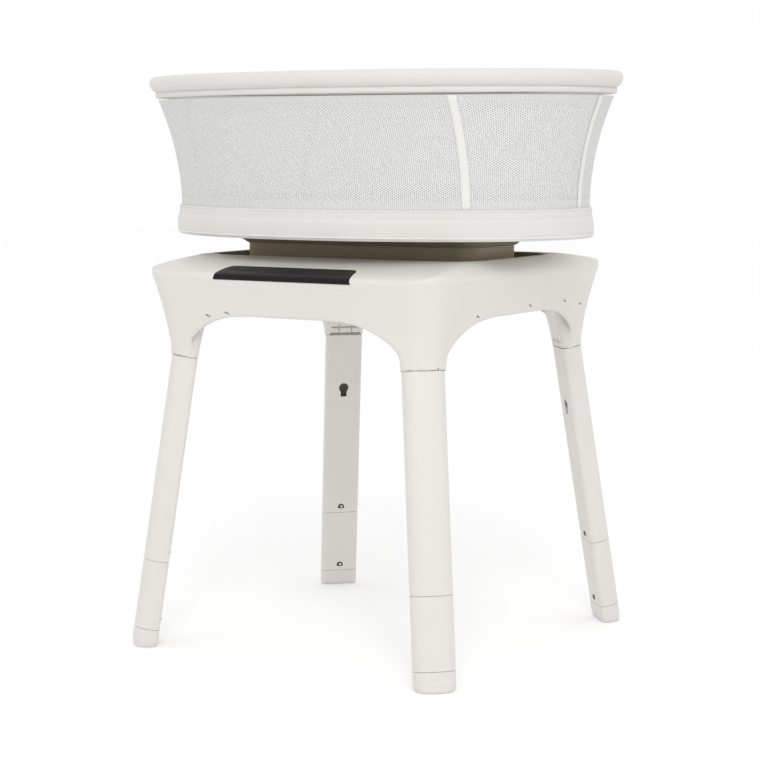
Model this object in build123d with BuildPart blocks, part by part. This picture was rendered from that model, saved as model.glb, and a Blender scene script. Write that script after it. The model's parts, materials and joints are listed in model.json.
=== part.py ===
from build123d import *
import os
from math import cos, radians, sin, sqrt

# Bassinet on a motorised stand. Millimetres, +Z up, X along the basket, -Y is the control panel side.
# The origin is on the floor, under the middle of the stand.

# ---- clearances that the fits use
FIT = 0.3            # between two fixed pieces that slide together
GAP = 0.4            # between pieces that only lie side by side
RUN = 0.05           # round a shaft that slides or turns

# ---- stand: four splayed legs
LEG_TOP_HALF = 225.6     # X and Y of a leg's centre line at the collar seam
LEG_FOOT_HALF = 277.0    # X and Y of a leg's centre line on the floor
COLLAR_Z = 466.0         # height of the collar seam on the leg's centre line
MID_SEAM_Z = 139.0       # height of the seam above the leg extension
FOOT_SEAM_Z = 29.4       # height of the seam above the foot cap
LEG_WIDTH = 64.0         # across the flat inner face
LEG_DEPTH = 37.0         # from the flat inner face to the round outer face
LEG_OUTER_R = 24.0
LEG_INNER_R = 7.0
LEG_WALL = 3.0
COLLAR_STEP = 2.0        # how far the collar stands proud of the leg
TENON_LENGTH = 56.0
SEAM = 0.3               # open line at a leg seam
PAD_RADIUS = 13.0
PAD_HEIGHT = 3.0
PAD_PROUD = 1.0
FOOT_TAPER = 9.0
KEYHOLE_Z = COLLAR_Z - 96.0
KEYHOLE_R = 8.6
KEYHOLE_SLOT = 11.0
KEYHOLE_HEIGHT = 24.6
BUTTON_R = 5.3
BUTTON_FLAT = 2.7        # from the button's centre to its flat side
BUTTON_LENGTH = 11.0
BUTTON_PROUD = 0.4
BUTTON_TRAVEL = 4.2
BUTTON_ABOVE_SEAM = 10.8
TAB_SPACING = 23.0
TAB_SLIT = 1.2
TAB_HEIGHT = 17.0

# ---- hub: the white platform that the legs plug into
EDGE_HALF = 276.0        # half side of the square edge, the widest place
EDGE_RISE = 132.0        # edge above the collar seam
EDGE_Z = COLLAR_Z + EDGE_RISE
EDGE_CORNER = 54.0
ROOT_HALF = 250.0        # half side down at the collar seam
ROOT_CORNER = 34.0
CROWN_RISE = 26.0        # lip round the opening, above the edge
LIP_Z = EDGE_Z + CROWN_RISE
OPEN_CORNER = 60.0
LIP_WIDTH = 3.0
APRON_RISE = 70.0        # lower edge of the apron, above the collar seam
APRON_Z = COLLAR_Z + APRON_RISE
ARCH_HALF = 203.0
ARCH_R = 40.0
HUB_WALL = 4.0
BOSS_R = 7.0
BOSS_X = 160.0
BOSS_MARGIN = 19.7       # from a boss's centre to the cover's edge
BOSS_TOP = 12.0          # boss top above the edge, inside the crown's wall
FLARE = ((0.0, 0.0), (0.29, 0.17), (0.48, 0.34), (0.67, 0.55), (0.86, 0.82), (1.0, 1.0))
CROWN = ((0.11, 0.31), (0.29, 0.54), (0.62, 0.81), (1.0, 1.0))
COLLAR_FLARE = ((1.3, 14.0), (0.7, 5.0), (0.0, COLLAR_STEP))     # share of the tenon, and spread

# ---- control panel on the front edge, and the power inlet on the back
PANEL_HALF = 127.5
PANEL_BACK_HALF = 117.0
PANEL_DEPTH = 38.0
PANEL_THICK = 1.6
PANEL_LIP = 7.0
PANEL_CORNER = 9.0
INLET_R = 5.6
INLET_X = -60.0
INLET_Z = COLLAR_Z + 100.0
INLET_SUNK = 1.5
INLET_LENGTH = 16.0

# ---- drive inside the hub
COVER_Z = APRON_Z + 2.0
COVER_THICK = 3.0
COVER_GAP = 1.0          # round the cover, inside the hub's wall
COVER_CUT = 117.0
TRAY_THICK = 2.0
TRAY_HALF_X = 215.0
TRAY_HALF_Y = 125.0
POST_X = 200.0
POST_Y = 110.0
POST_R = 5.0
SCREW_R = 2.0
SCREW_HEAD_R = 4.0
SCREW_HEAD = 2.4
SWAY = 38.0              # travel to each side
LIFT = 30.0              # travel upwards
RAIL_X = 95.0
RAIL_R = 5.0
RAIL_END = 16.0          # rail beyond the carriage at the end of its sway
RAIL_RISE = 14.0         # rail centre above the tray
CARRIAGE_HALF_X = 112.0
CARRIAGE_HALF_Y = 50.0
RAIL_HALF = CARRIAGE_HALF_Y + SWAY + RAIL_END
BUSH_WALL = 4.0
BUSH_CHEEK = 6.0         # beside each rail
CARRIAGE_THICK = 4.0
CARRIAGE_RISE = 24.5     # carriage plate's underside above the tray
SWAY_PINION_R = 7.0
PINION_WIDTH = 10.0
SHAFT_R = 3.0
RACK_HEIGHT = 5.5
RACK_FLOOR = 2.5         # under the lift's rack
RACK_WIDTH = 8.0
SWAY_MOTOR_R = 11.0
SWAY_MOTOR_LENGTH = 56.0
LIFT_POST_X = 70.0
LIFT_POST_R = 8.0
LIFT_BUSH_WALL = 4.0
LIFT_PINION_R = 9.0
LIFT_MOTOR_R = 15.0
LIFT_MOTOR_LENGTH = 46.0
FRAME_MARGIN = 25.0      # lift frame beyond its posts
FRAME_HALF_Y = 30.0
SLOT_MARGIN = 22.0       # liner's slot beyond the sway
SLOT_CORNER = 10.0
BOARD_SHEET = 1.6        # a circuit board's own thickness
CHIP_HEIGHT = 3.0
PANEL_BOARD_INSET = 26.0
PANEL_BOARD_DROP = 3.0   # the panel's board below the hub's edge
BOARD_BOSS_X = 75.0
BOARD_BOSS_R = 3.0
BOARD_BOSS_HEIGHT = 9.9

# ---- tower that carries the basket
TOWER_HALF_X = 220.0
TOWER_HALF_Y = 78.0
TOWER_CORNER = 33.0
TOWER_WALL = 3.0
TOWER_BASE_Z = LIP_Z - 42.0
TOWER_TOP_Z = LIP_Z + 16.0
SWAY_ROOM = 30.0         # beyond the sway, to the opening's side
END_ROOM = 30.0          # tower to the opening's end
OPEN_HALF_X = TOWER_HALF_X + END_ROOM
OPEN_HALF_Y = TOWER_HALF_Y + SWAY + SWAY_ROOM
LINER_WALL = 3.0
LINER_FLOOR_Z = LIP_Z - 51.0
MOUNT_HALF_X = 188.0
MOUNT_HALF_Y = 54.0
MOUNT_THICK = 3.0
MOUNT_PEG_X = 150.0
MOUNT_PEG_R = 7.0
MOUNT_PEG_HEIGHT = 10.0

# ---- basket, an oval that flares to its rim
RIM_A = 415.0
RIM_B = 278.0
RIM_WIDTH = 27.0
RIM_TUBE_R = 9.0
SKIRT_BOTTOM_Z = TOWER_TOP_Z + 15.0
SKIRT_HEIGHT = 34.5
SKIRT_TOP_Z = SKIRT_BOTTOM_Z + SKIRT_HEIGHT
MESH_BOTTOM_Z = SKIRT_TOP_Z + 10.5
MESH_HEIGHT = 172.5
BINDING_Z = MESH_BOTTOM_Z + MESH_HEIGHT
RIM_BOTTOM_Z = BINDING_Z + 7.5
RIM_HEIGHT = 30.0
RIM_TOP_Z = RIM_BOTTOM_Z + RIM_HEIGHT
SKIRT_THICK = 9.0
SKIRT_INSET = 45.0       # how far the skirt's fullest line lies inside the rim
MESH_THICK = 1.5
TAPE_WIDTH = 12.0
TAPE_THICK = 0.8
BOARD_THICK = 5.0
FABRIC_THICK = 2.0
PAN_FLARE = 38.0
MATTRESS_THICK = 28.0
SEAM_ANGLES = (0.0, 143.6, 180.0, 323.6)
MESH_FLARE = ((0.0, 0.0), (0.14, 0.01), (0.3, 0.08), (0.48, 0.23), (0.65, 0.45), (0.81, 0.63), (1.0, 1.0))
MESH_TOP_INSET = 15.0
MESH_BOTTOM_INSET = 52.0

CORNERS = {
    "front_left": (-1, -1),
    "front_right": (1, -1),
    "back_right": (1, 1),
    "back_left": (-1, 1),
}

os.makedirs("parts", exist_ok=True)


def save(name, built):
    """Label a finished piece and write its STEP file."""
    built.part.label = name
    export_step(built.part, f"parts/{name}.step")


# ---------------------------------------------------------------- legs
LEG_LEAN = (LEG_FOOT_HALF - LEG_TOP_HALF) / COLLAR_Z
LEG_STRETCH = sqrt(1 + 2 * LEG_LEAN**2)      # leg length for each unit of height


def along_leg(height):
    """Distance down the leg's centre line from the collar seam to a height."""
    return (COLLAR_Z - height) * LEG_STRETCH


def leg_plane(corner, distance):
    """Plane across a leg: its X runs round the stand, its Y outwards and its Z down the leg."""
    side_x, side_y = corner
    axis = Vector(side_x * LEG_LEAN, side_y * LEG_LEAN, -1).normalized()
    top = Vector(side_x * LEG_TOP_HALF, side_y * LEG_TOP_HALF, COLLAR_Z)
    return Plane(origin=top + axis * distance, x_dir=(-side_y, side_x, 0), z_dir=axis)


def draw_leg_section(inset):
    """Draw the D-shaped section in the open sketch, smaller all round by the inset."""
    Rectangle(LEG_WIDTH - 2 * inset, LEG_DEPTH - 2 * inset)
    fillet(vertices().group_by(Axis.Y)[-1], LEG_OUTER_R - inset)
    fillet(vertices().group_by(Axis.Y)[0], LEG_INNER_R - inset)


def leg_block(corner, start, end, inset, mode=Mode.ADD):
    """Add or cut a length of leg section in the open part."""
    with BuildSketch(leg_plane(corner, start)) as section:
        draw_leg_section(inset)
    extrude(section.sketch, amount=end - start, mode=mode)


def inner_face_plane(corner, distance, depth):
    """Plane parallel to the leg's flat inner face, at a distance down the leg; its Z looks outwards."""
    across = leg_plane(corner, distance)
    return Plane(origin=across.origin + across.y_dir * depth, x_dir=across.x_dir, z_dir=across.y_dir)


def draw_button(extra):
    """Draw the half-moon button, round above and flat below, in the open sketch."""
    Circle(BUTTON_R + extra)
    with Locations((0, -BUTTON_FLAT - extra - BUTTON_R)):
        Rectangle(4 * BUTTON_R, 2 * BUTTON_R, mode=Mode.SUBTRACT)


def button_cut(corner, distance, start, end):
    """Cut a button's hole between two depths of the leg."""
    with BuildSketch(inner_face_plane(corner, distance, start)) as hole:
        draw_button(FIT)
    extrude(hole.sketch, amount=end - start, mode=Mode.SUBTRACT)


MID_SEAM = along_leg(MID_SEAM_Z)
FOOT_SEAM = along_leg(FOOT_SEAM_Z)
MID_BUTTON = MID_SEAM - BUTTON_ABOVE_SEAM
FOOT_BUTTON = FOOT_SEAM - BUTTON_ABOVE_SEAM
FACE = -LEG_DEPTH / 2                          # the flat inner face, from the centre line
TENON_INSET = LEG_WALL + FIT
BUTTON_BACK = FACE - BUTTON_PROUD + BUTTON_LENGTH
POCKET_END = BUTTON_BACK + BUTTON_TRAVEL + 2 * GAP


def upper_leg(corner):
    """Upper tube: a tenon for the hub's socket, and a bore for the extension's tenon."""
    with BuildPart() as leg:
        leg_block(corner, -TENON_LENGTH, SEAM, TENON_INSET)
        leg_block(corner, SEAM, MID_SEAM - SEAM, 0)
        leg_block(corner, 3 * LEG_WALL, MID_SEAM, LEG_WALL, Mode.SUBTRACT)
        button_cut(corner, MID_BUTTON, FACE - 1, FACE + LEG_WALL + 1)
        with BuildSketch(inner_face_plane(corner, along_leg(KEYHOLE_Z), FACE - 1)):
            Circle(KEYHOLE_R)
            with Locations((0, -(KEYHOLE_HEIGHT - KEYHOLE_R) / 2)):
                Rectangle(KEYHOLE_SLOT, KEYHOLE_HEIGHT - KEYHOLE_R)
        extrude(amount=LEG_WALL + 2, mode=Mode.SUBTRACT)
    return leg


def lower_leg(corner):
    """Extension: a tenon with the button's pocket above, and a bore for the foot's plug below."""
    with BuildPart() as leg:
        leg_block(corner, MID_SEAM - TENON_LENGTH, MID_SEAM + SEAM, TENON_INSET)
        leg_block(corner, MID_SEAM + SEAM, FOOT_SEAM - SEAM, 0)
        leg_block(corner, MID_SEAM + 3 * LEG_WALL, FOOT_SEAM, LEG_WALL, Mode.SUBTRACT)
        button_cut(corner, MID_BUTTON, FACE, POCKET_END)
        button_cut(corner, FOOT_BUTTON, FACE - 1, FACE + LEG_WALL + 1)
    return leg


def foot_centre(corner):
    """Where a leg's centre line meets the floor."""
    return (corner[0] * LEG_FOOT_HALF, corner[1] * LEG_FOOT_HALF)


def foot_cap(corner):
    """Cap with a plug for the extension, a tapered sole and a round pocket for its pad."""
    taper_start = along_leg(FOOT_TAPER)
    with BuildPart() as cap:
        leg_block(corner, FOOT_SEAM - TENON_LENGTH / 2, FOOT_SEAM + SEAM, TENON_INSET)
        leg_block(corner, FOOT_SEAM + SEAM, taper_start, 0)
        with BuildSketch(leg_plane(corner, taper_start)):
            draw_leg_section(0)
        with BuildSketch(leg_plane(corner, taper_start + 2 * FOOT_TAPER)):
            draw_leg_section(FOOT_TAPER / 2)
        loft(ruled=True)
        button_cut(corner, FOOT_BUTTON, FACE, POCKET_END)
        with BuildSketch(Plane.XY.offset(PAD_PROUD)):
            with Locations(foot_centre(corner)):
                Rectangle(3 * LEG_WIDTH, 3 * LEG_WIDTH)
        extrude(amount=-3 * FOOT_TAPER, mode=Mode.SUBTRACT)
        with BuildSketch(Plane.XY):
            with Locations(foot_centre(corner)):
                Circle(PAD_RADIUS + FIT)
        extrude(amount=PAD_HEIGHT, mode=Mode.SUBTRACT)
    return cap


def snap_button(corner, distance):
    """Half-moon button that holds two lengths of leg together."""
    with BuildPart() as button:
        with BuildSketch(inner_face_plane(corner, distance, FACE - BUTTON_PROUD)):
            draw_button(0)
        extrude(amount=BUTTON_LENGTH)
    return button


def foot_pads():
    """Four rubber pads, one under each foot."""
    with BuildPart() as pads:
        with BuildSketch(Plane.XY):
            with Locations(*[foot_centre(corner) for corner in CORNERS.values()]):
                Circle(PAD_RADIUS)
        extrude(amount=PAD_HEIGHT)
    return pads


# ---------------------------------------------------------------- hub
def mix(low, high, share):
    """Value that lies a share of the way from low to high."""
    return low + (high - low) * share


def wall_section(share_up, share_out, inset):
    """Height, half sizes and corner of the hub's side wall."""
    half = mix(ROOT_HALF, EDGE_HALF, share_out) - inset
    corner = mix(ROOT_CORNER, EDGE_CORNER, share_up) - inset
    return (mix(COLLAR_Z, EDGE_Z, share_up), half, half, corner)


def wall_half(height):
    """Half side of the hub's outside at a height between the collar seam and the edge."""
    share = (height - COLLAR_Z) / EDGE_RISE
    below = [row for row in FLARE if row[0] <= share][-1]
    above = [row for row in FLARE if row[0] > share][0]
    out = mix(below[1], above[1], (share - below[0]) / (above[0] - below[0]))
    return mix(ROOT_HALF, EDGE_HALF, out)


def crown_section(share_in, share_up, inset):
    """Height, half sizes and corner of the hub's top, from its edge to the lip."""
    half_x = mix(EDGE_HALF, OPEN_HALF_X + LIP_WIDTH, share_in) - inset
    half_y = mix(EDGE_HALF, OPEN_HALF_Y + LIP_WIDTH, share_in) - inset
    corner = mix(EDGE_CORNER, OPEN_CORNER, share_in) - inset
    return (mix(EDGE_Z, LIP_Z, share_up) - inset, half_x, half_y, corner)


def loft_sections(sections, mode=Mode.ADD):
    """Loft rounded rectangles, each given by height, half sizes and corner, in the open part."""
    rings = []
    for height, half_x, half_y, corner in sections:
        with BuildSketch(Plane.XY.offset(height)) as ring:
            RectangleRounded(2 * half_x, 2 * half_y, corner)
        rings.append(ring.sketch)
    loft(rings, ruled=True, mode=mode)


def outer_sections():
    """The hub's outside, from below the collar seam up to the lip."""
    foot = (COLLAR_Z - LEG_WIDTH / 2, ROOT_HALF, ROOT_HALF, ROOT_CORNER)
    walls = [wall_section(up, out, 0) for up, out in FLARE]
    return [foot] + walls + [crown_section(share_in, up, 0) for share_in, up in CROWN]


def inner_sections():
    """The hub's hollow, from the apron's lower edge up to the underside of the crown."""
    walls = [wall_section(up, out, HUB_WALL) for up, out in FLARE]
    above = [section for section in walls if section[0] > APRON_Z]
    height, half, _, corner = [section for section in walls if section[0] <= APRON_Z][-1]
    share = (APRON_Z - height) / (above[0][0] - height)
    start = (APRON_Z - 1, mix(half, above[0][1], share), mix(half, above[0][2], share), corner)
    crown = [crown_section(share_in, up, HUB_WALL) for share_in, up in CROWN[:-1]]
    top = (LIP_Z - HUB_WALL, OPEN_HALF_X + 2, OPEN_HALF_Y + 2, OPEN_CORNER + 2)
    return [start] + above[:-1] + [(EDGE_Z - HUB_WALL,) + above[-1][1:]] + crown + [top]


def cut_arches():
    """Cut the arch between each two legs of the open part."""
    for face in (Plane.XZ, Plane.YZ):
        with BuildSketch(face) as arch:
            with Locations((0, APRON_Z - 2 * ARCH_R)):
                Rectangle(2 * ARCH_HALF, 4 * ARCH_R)
            fillet(vertices().group_by(Axis.Y)[-1], ARCH_R)
        extrude(arch.sketch, amount=2 * EDGE_HALF, both=True, mode=Mode.SUBTRACT)


def add_collar(corner):
    """Add one collar: it grows from the leg's section into the hub."""
    rings = []
    for share, spread in COLLAR_FLARE:
        with BuildSketch(leg_plane(corner, -share * TENON_LENGTH)) as ring:
            draw_leg_section(-spread)
        rings.append(ring.sketch)
    loft(rings, ruled=True)


def cut_socket(corner):
    """Trim a collar at its seam, sink the leg's socket and slit the clip tab."""
    with BuildSketch(leg_plane(corner, 0)) as below:
        Rectangle(3 * LEG_WIDTH, 3 * LEG_WIDTH)
    extrude(below.sketch, amount=LEG_WIDTH, mode=Mode.SUBTRACT)
    leg_block(corner, -TENON_LENGTH - FIT, 0, TENON_INSET - FIT, Mode.SUBTRACT)
    with BuildSketch(inner_face_plane(corner, -TAB_HEIGHT / 2, FACE - 4 * COLLAR_STEP)) as slits:
        with Locations((-TAB_SPACING / 2, 0), (TAB_SPACING / 2, 0)):
            Rectangle(TAB_SLIT, TAB_HEIGHT + 1)
    extrude(slits.sketch, amount=4 * COLLAR_STEP + LEG_WALL, mode=Mode.SUBTRACT)


def panel_profile(lift):
    """Edge of the hub under the control panel, as points in Y and Z, raised by a small amount."""
    rows = [(0.0, 0.0)] + [row for row in CROWN if row[0] < 0.3]
    points = [(mix(EDGE_HALF, OPEN_HALF_Y + LIP_WIDTH, share), mix(EDGE_Z, LIP_Z, up)) for share, up in rows]
    points[-1] = (EDGE_HALF - PANEL_DEPTH, mix(EDGE_Z, LIP_Z, rows[-1][1]))
    outline = [(-EDGE_HALF - lift, EDGE_Z - PANEL_LIP)]
    return outline + [(-y - lift / 2, z + lift) for y, z in points]


def panel_block(outer, inner, margin, mode=Mode.ADD):
    """Add or cut the bent plate of the control panel between two heights over the hub's surface."""
    top = panel_profile(outer)
    bottom = [(y, z) for y, z in reversed(panel_profile(inner))]
    with BuildSketch(Plane.YZ.offset(-PANEL_HALF - margin)) as profile:
        with BuildLine():
            Polyline(*(top + bottom), close=True)
        make_face()
    extrude(profile.sketch, amount=2 * (PANEL_HALF + margin), mode=mode)


def trim_panel(margin):
    """Trim the open part to the panel's outline, which narrows towards the back."""
    front = -EDGE_HALF - 4
    back = -EDGE_HALF + PANEL_DEPTH + 1
    half = PANEL_HALF + margin
    back_half = PANEL_BACK_HALF + margin
    with BuildSketch(Plane.XY.offset(EDGE_Z - 2 * PANEL_LIP)) as outline:
        with BuildLine():
            Polyline((-half, front), (half, front), (back_half, back), (-back_half, back), close=True)
        make_face()
        fillet(vertices().group_by(Axis.Y)[-1], PANEL_CORNER)
    extrude(outline.sketch, amount=LIP_Z - EDGE_Z + 2 * PANEL_LIP, mode=Mode.INTERSECT)


def control_glass():
    """Black glass plate that bends over the hub's front edge."""
    with BuildPart() as glass:
        panel_block(GAP, GAP - PANEL_THICK, 0)
        trim_panel(0)
    return glass


def panel_pocket():
    """Room that the control panel needs in the hub."""
    with BuildPart() as pocket:
        panel_block(4 * GAP, -PANEL_THICK, FIT)
        trim_panel(FIT)
    return pocket


def hub_shell():
    """White shell: crown, apron, arches, collars with sockets, and the opening for the tower."""
    pocket = panel_pocket()
    with BuildPart() as shell:
        loft_sections(outer_sections())
        loft_sections(inner_sections(), Mode.SUBTRACT)
        cut_arches()
        for corner in CORNERS.values():
            add_collar(corner)
        with BuildSketch(Plane.XY.offset(COVER_Z + COVER_THICK + FIT)):
            with GridLocations(2 * BOSS_X, 2 * BOSS_Y, 2, 2):
                Circle(BOSS_R)
        extrude(amount=EDGE_Z + BOSS_TOP - COVER_Z - COVER_THICK)
        with BuildSketch(Plane.XY.offset(PANEL_BOARD_Z + BOARD_SHEET)):
            with Locations((-BOARD_BOSS_X, PANEL_BOARD_Y), (BOARD_BOSS_X, PANEL_BOARD_Y)):
                Circle(BOARD_BOSS_R)
        extrude(amount=BOARD_BOSS_HEIGHT)
        for corner in CORNERS.values():
            cut_socket(corner)
        with BuildSketch(Plane.XY.offset(APRON_Z)):
            RectangleRounded(2 * OPEN_HALF_X, 2 * OPEN_HALF_Y, OPEN_CORNER)
        extrude(amount=2 * (LIP_Z - APRON_Z), mode=Mode.SUBTRACT)
        with BuildSketch(Plane.XY.offset(COVER_Z)):
            with GridLocations(2 * BOSS_X, 2 * BOSS_Y, 2, 2):
                Circle(SCREW_R)
        extrude(amount=SCREW_DEPTH, mode=Mode.SUBTRACT)
        with BuildSketch(Plane.XZ.offset(-EDGE_HALF)):
            with Locations((INLET_X, INLET_Z)):
                Circle(INLET_R + FIT)
        extrude(amount=3 * INLET_LENGTH, mode=Mode.SUBTRACT)
        add(pocket.part, mode=Mode.SUBTRACT)
    return shell


SCREW_DEPTH = COVER_THICK + 18.0
COVER_HALF = wall_half(COVER_Z) - HUB_WALL - COVER_GAP
BOSS_Y = COVER_HALF - BOSS_MARGIN
PANEL_BOARD_Y = -EDGE_HALF + PANEL_BOARD_INSET
PANEL_BOARD_Z = EDGE_Z - PANEL_BOARD_DROP
TRAY_Z = COVER_Z + COVER_THICK
TRAY_TOP = TRAY_Z + TRAY_THICK


def screw_spots():
    """Places of the screws that come up through the cover."""
    spots = []
    for side_x in (-1, 1):
        for side_y in (-1, 1):
            spots.append((side_x * BOSS_X, side_y * BOSS_Y))
            spots.append((side_x * POST_X, side_y * POST_Y))
    return spots


def hub_underside():
    """Cover that closes the hub from below, with its corners cut back behind the sockets."""
    with BuildPart() as cover:
        with BuildSketch(Plane.XY.offset(COVER_Z)):
            Rectangle(2 * COVER_HALF, 2 * COVER_HALF)
            chamfer(vertices(), COVER_CUT)
            with Locations(*screw_spots()):
                Circle(SCREW_R + RUN, mode=Mode.SUBTRACT)
        extrude(amount=COVER_THICK)
    return cover


def cover_screws():
    """Eight screws with pan heads."""
    with BuildPart() as screws:
        with BuildSketch(Plane.XY.offset(COVER_Z - SCREW_HEAD)):
            with Locations(*screw_spots()):
                Circle(SCREW_HEAD_R)
        extrude(amount=SCREW_HEAD)
        with BuildSketch(Plane.XY.offset(COVER_Z)):
            with Locations(*screw_spots()):
                Circle(SCREW_R - RUN)
        extrude(amount=SCREW_DEPTH - 1)
    return screws


def recess_liner():
    """Dark tray that lines the opening; its floor has a slot for the lift posts."""
    with BuildPart() as liner:
        with BuildSketch(Plane.XY.offset(LINER_FLOOR_Z)):
            RectangleRounded(2 * (OPEN_HALF_X - GAP), 2 * (OPEN_HALF_Y - GAP), OPEN_CORNER - GAP)
        extrude(amount=LIP_Z - 1 - LINER_FLOOR_Z)
        inset = GAP + LINER_WALL
        with BuildSketch(Plane.XY.offset(LINER_FLOOR_Z + LINER_WALL)):
            RectangleRounded(2 * (OPEN_HALF_X - inset), 2 * (OPEN_HALF_Y - inset), OPEN_CORNER - inset)
        extrude(amount=LIP_Z - LINER_FLOOR_Z, mode=Mode.SUBTRACT)
        with BuildSketch(Plane.XY.offset(LINER_FLOOR_Z)):
            RectangleRounded(2 * (LIFT_POST_X + FRAME_MARGIN), 2 * (SWAY + SLOT_MARGIN), SLOT_CORNER)
        extrude(amount=LINER_WALL, mode=Mode.SUBTRACT)
    return liner


def power_inlet():
    """Socket for the power lead, flush with the back of the hub."""
    face = wall_half(INLET_Z) - INLET_SUNK
    with BuildPart() as inlet:
        with BuildSketch(Plane.XZ.offset(-face)):
            with Locations((INLET_X, INLET_Z)):
                Circle(INLET_R)
        extrude(amount=INLET_LENGTH)
        with BuildSketch(Plane.XZ.offset(-face)):
            with Locations((INLET_X, INLET_Z)):
                Circle(INLET_R / 2)
                Circle(INLET_R / 5, mode=Mode.SUBTRACT)
        extrude(amount=INLET_LENGTH * 0.7, mode=Mode.SUBTRACT)
    return inlet


# ---------------------------------------------------------------- drive
RAIL_Z = TRAY_TOP + RAIL_RISE
CARRIAGE_Z = TRAY_TOP + CARRIAGE_RISE
CARRIAGE_TOP = CARRIAGE_Z + CARRIAGE_THICK
FRAME_TOP = TOWER_TOP_Z - TOWER_WALL
FRAME_PLATE = 6.0
FRAME_PLATE_Z = FRAME_TOP - FRAME_PLATE
BUSH_Z = LINER_FLOOR_Z + LINER_WALL + 4.0
LIFT_POST_TOP = FRAME_PLATE_Z - 1.5
LIFT_AXIS_Z = CARRIAGE_TOP + RACK_FLOOR + LIFT + 2.0
SWAY_RACK_Z = CARRIAGE_Z - RACK_HEIGHT
SWAY_AXIS_Z = SWAY_RACK_Z - SWAY_PINION_R - RUN


def slab(half_x, half_y, bottom, top, corner=3.0):
    """Add a flat rounded plate, centred on the Z axis, in the open part."""
    with BuildSketch(Plane.XY.offset(bottom)) as outline:
        RectangleRounded(2 * half_x, 2 * half_y, corner)
    extrude(outline.sketch, amount=top - bottom)


def drive_tray():
    """Steel tray that carries the rails, the motor and the boards."""
    with BuildPart() as tray:
        slab(TRAY_HALF_X, TRAY_HALF_Y, TRAY_Z, TRAY_TOP)
        with BuildSketch(Plane.XY.offset(TRAY_Z)):
            with GridLocations(2 * POST_X, 2 * POST_Y, 2, 2):
                Circle(SCREW_R + RUN)
        extrude(amount=TRAY_THICK, mode=Mode.SUBTRACT)
    return tray


def liner_posts():
    """Four pillars between the tray and the liner."""
    with BuildPart() as posts:
        with BuildSketch(Plane.XY.offset(TRAY_TOP)):
            with GridLocations(2 * POST_X, 2 * POST_Y, 2, 2):
                Circle(POST_R)
                Circle(SCREW_R, mode=Mode.SUBTRACT)
        extrude(amount=LINER_FLOOR_Z - TRAY_TOP)
    return posts


def sway_rails():
    """Two steel rods across the stand."""
    with BuildPart() as rails:
        with BuildSketch(Plane.XZ):
            with Locations((-RAIL_X, RAIL_Z), (RAIL_X, RAIL_Z)):
                Circle(RAIL_R)
        extrude(amount=RAIL_HALF, both=True)
    return rails


def rail_blocks():
    """Four blocks that hold the rods' ends."""
    block = 12.0
    with BuildPart() as blocks:
        with BuildSketch(Plane.XY.offset(TRAY_TOP)):
            with GridLocations(2 * RAIL_X, 2 * RAIL_HALF - block, 2, 2):
                Rectangle(3 * RAIL_R, block)
        extrude(amount=RAIL_RISE + RAIL_R + 3)
        with BuildSketch(Plane.XZ):
            with Locations((-RAIL_X, RAIL_Z), (RAIL_X, RAIL_Z)):
                Circle(RAIL_R + RUN)
        extrude(amount=RAIL_HALF + 1, both=True, mode=Mode.SUBTRACT)
    return blocks


def sway_carriage():
    """Carriage: a plate on two long bushings, with the rack under it and the lift motor's cradle."""
    with BuildPart() as carriage:
        slab(CARRIAGE_HALF_X, CARRIAGE_HALF_Y, CARRIAGE_Z, CARRIAGE_TOP)
        with BuildSketch(Plane.XY.offset(RAIL_Z - RAIL_R - BUSH_WALL)):
            with Locations((-RAIL_X, 0), (RAIL_X, 0)):
                Rectangle(2 * (RAIL_R + BUSH_CHEEK), 2 * CARRIAGE_HALF_Y)
        extrude(amount=CARRIAGE_Z - RAIL_Z + RAIL_R + BUSH_WALL)
        with BuildSketch(Plane.XZ):
            with Locations((-RAIL_X, RAIL_Z), (RAIL_X, RAIL_Z)):
                Circle(RAIL_R + RUN)
        extrude(amount=RAIL_HALF, both=True, mode=Mode.SUBTRACT)
        with BuildSketch(Plane.XY.offset(SWAY_RACK_Z)):
            Rectangle(RACK_WIDTH, 2 * (SWAY + 10))
        extrude(amount=CARRIAGE_Z - SWAY_RACK_Z)
        with BuildSketch(Plane.XY.offset(CARRIAGE_TOP)):
            with Locations((-LIFT_MOTOR_LENGTH / 2 - PINION_WIDTH, 0)):
                Rectangle(LIFT_MOTOR_LENGTH - 10, LIFT_MOTOR_R)
        extrude(amount=LIFT_AXIS_Z - CARRIAGE_TOP)
        with BuildSketch(Plane.YZ.offset(-LIFT_MOTOR_LENGTH - PINION_WIDTH)):
            with Locations((0, LIFT_AXIS_Z)):
                Circle(LIFT_MOTOR_R + RUN)
        extrude(amount=LIFT_MOTOR_LENGTH + PINION_WIDTH, mode=Mode.SUBTRACT)
    return carriage


def motor(axis_z, radius, length):
    """Gearmotor that lies along X, with its shaft through the pinion."""
    with BuildPart() as body:
        with BuildSketch(Plane.YZ.offset(-PINION_WIDTH - length)):
            with Locations((0, axis_z)):
                Circle(radius)
        extrude(amount=length)
        with BuildSketch(Plane.YZ.offset(-PINION_WIDTH)):
            with Locations((0, axis_z)):
                Circle(SHAFT_R)
        extrude(amount=1.5 * PINION_WIDTH)
    return body


def pinion(axis_z, radius):
    """Pinion on the motor's shaft, at its pitch diameter."""
    with BuildPart() as wheel:
        with BuildSketch(Plane.YZ.offset(-PINION_WIDTH / 2)):
            with Locations((0, axis_z)):
                Circle(radius)
                Circle(SHAFT_R + RUN, mode=Mode.SUBTRACT)
        extrude(amount=PINION_WIDTH)
    return wheel


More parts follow.
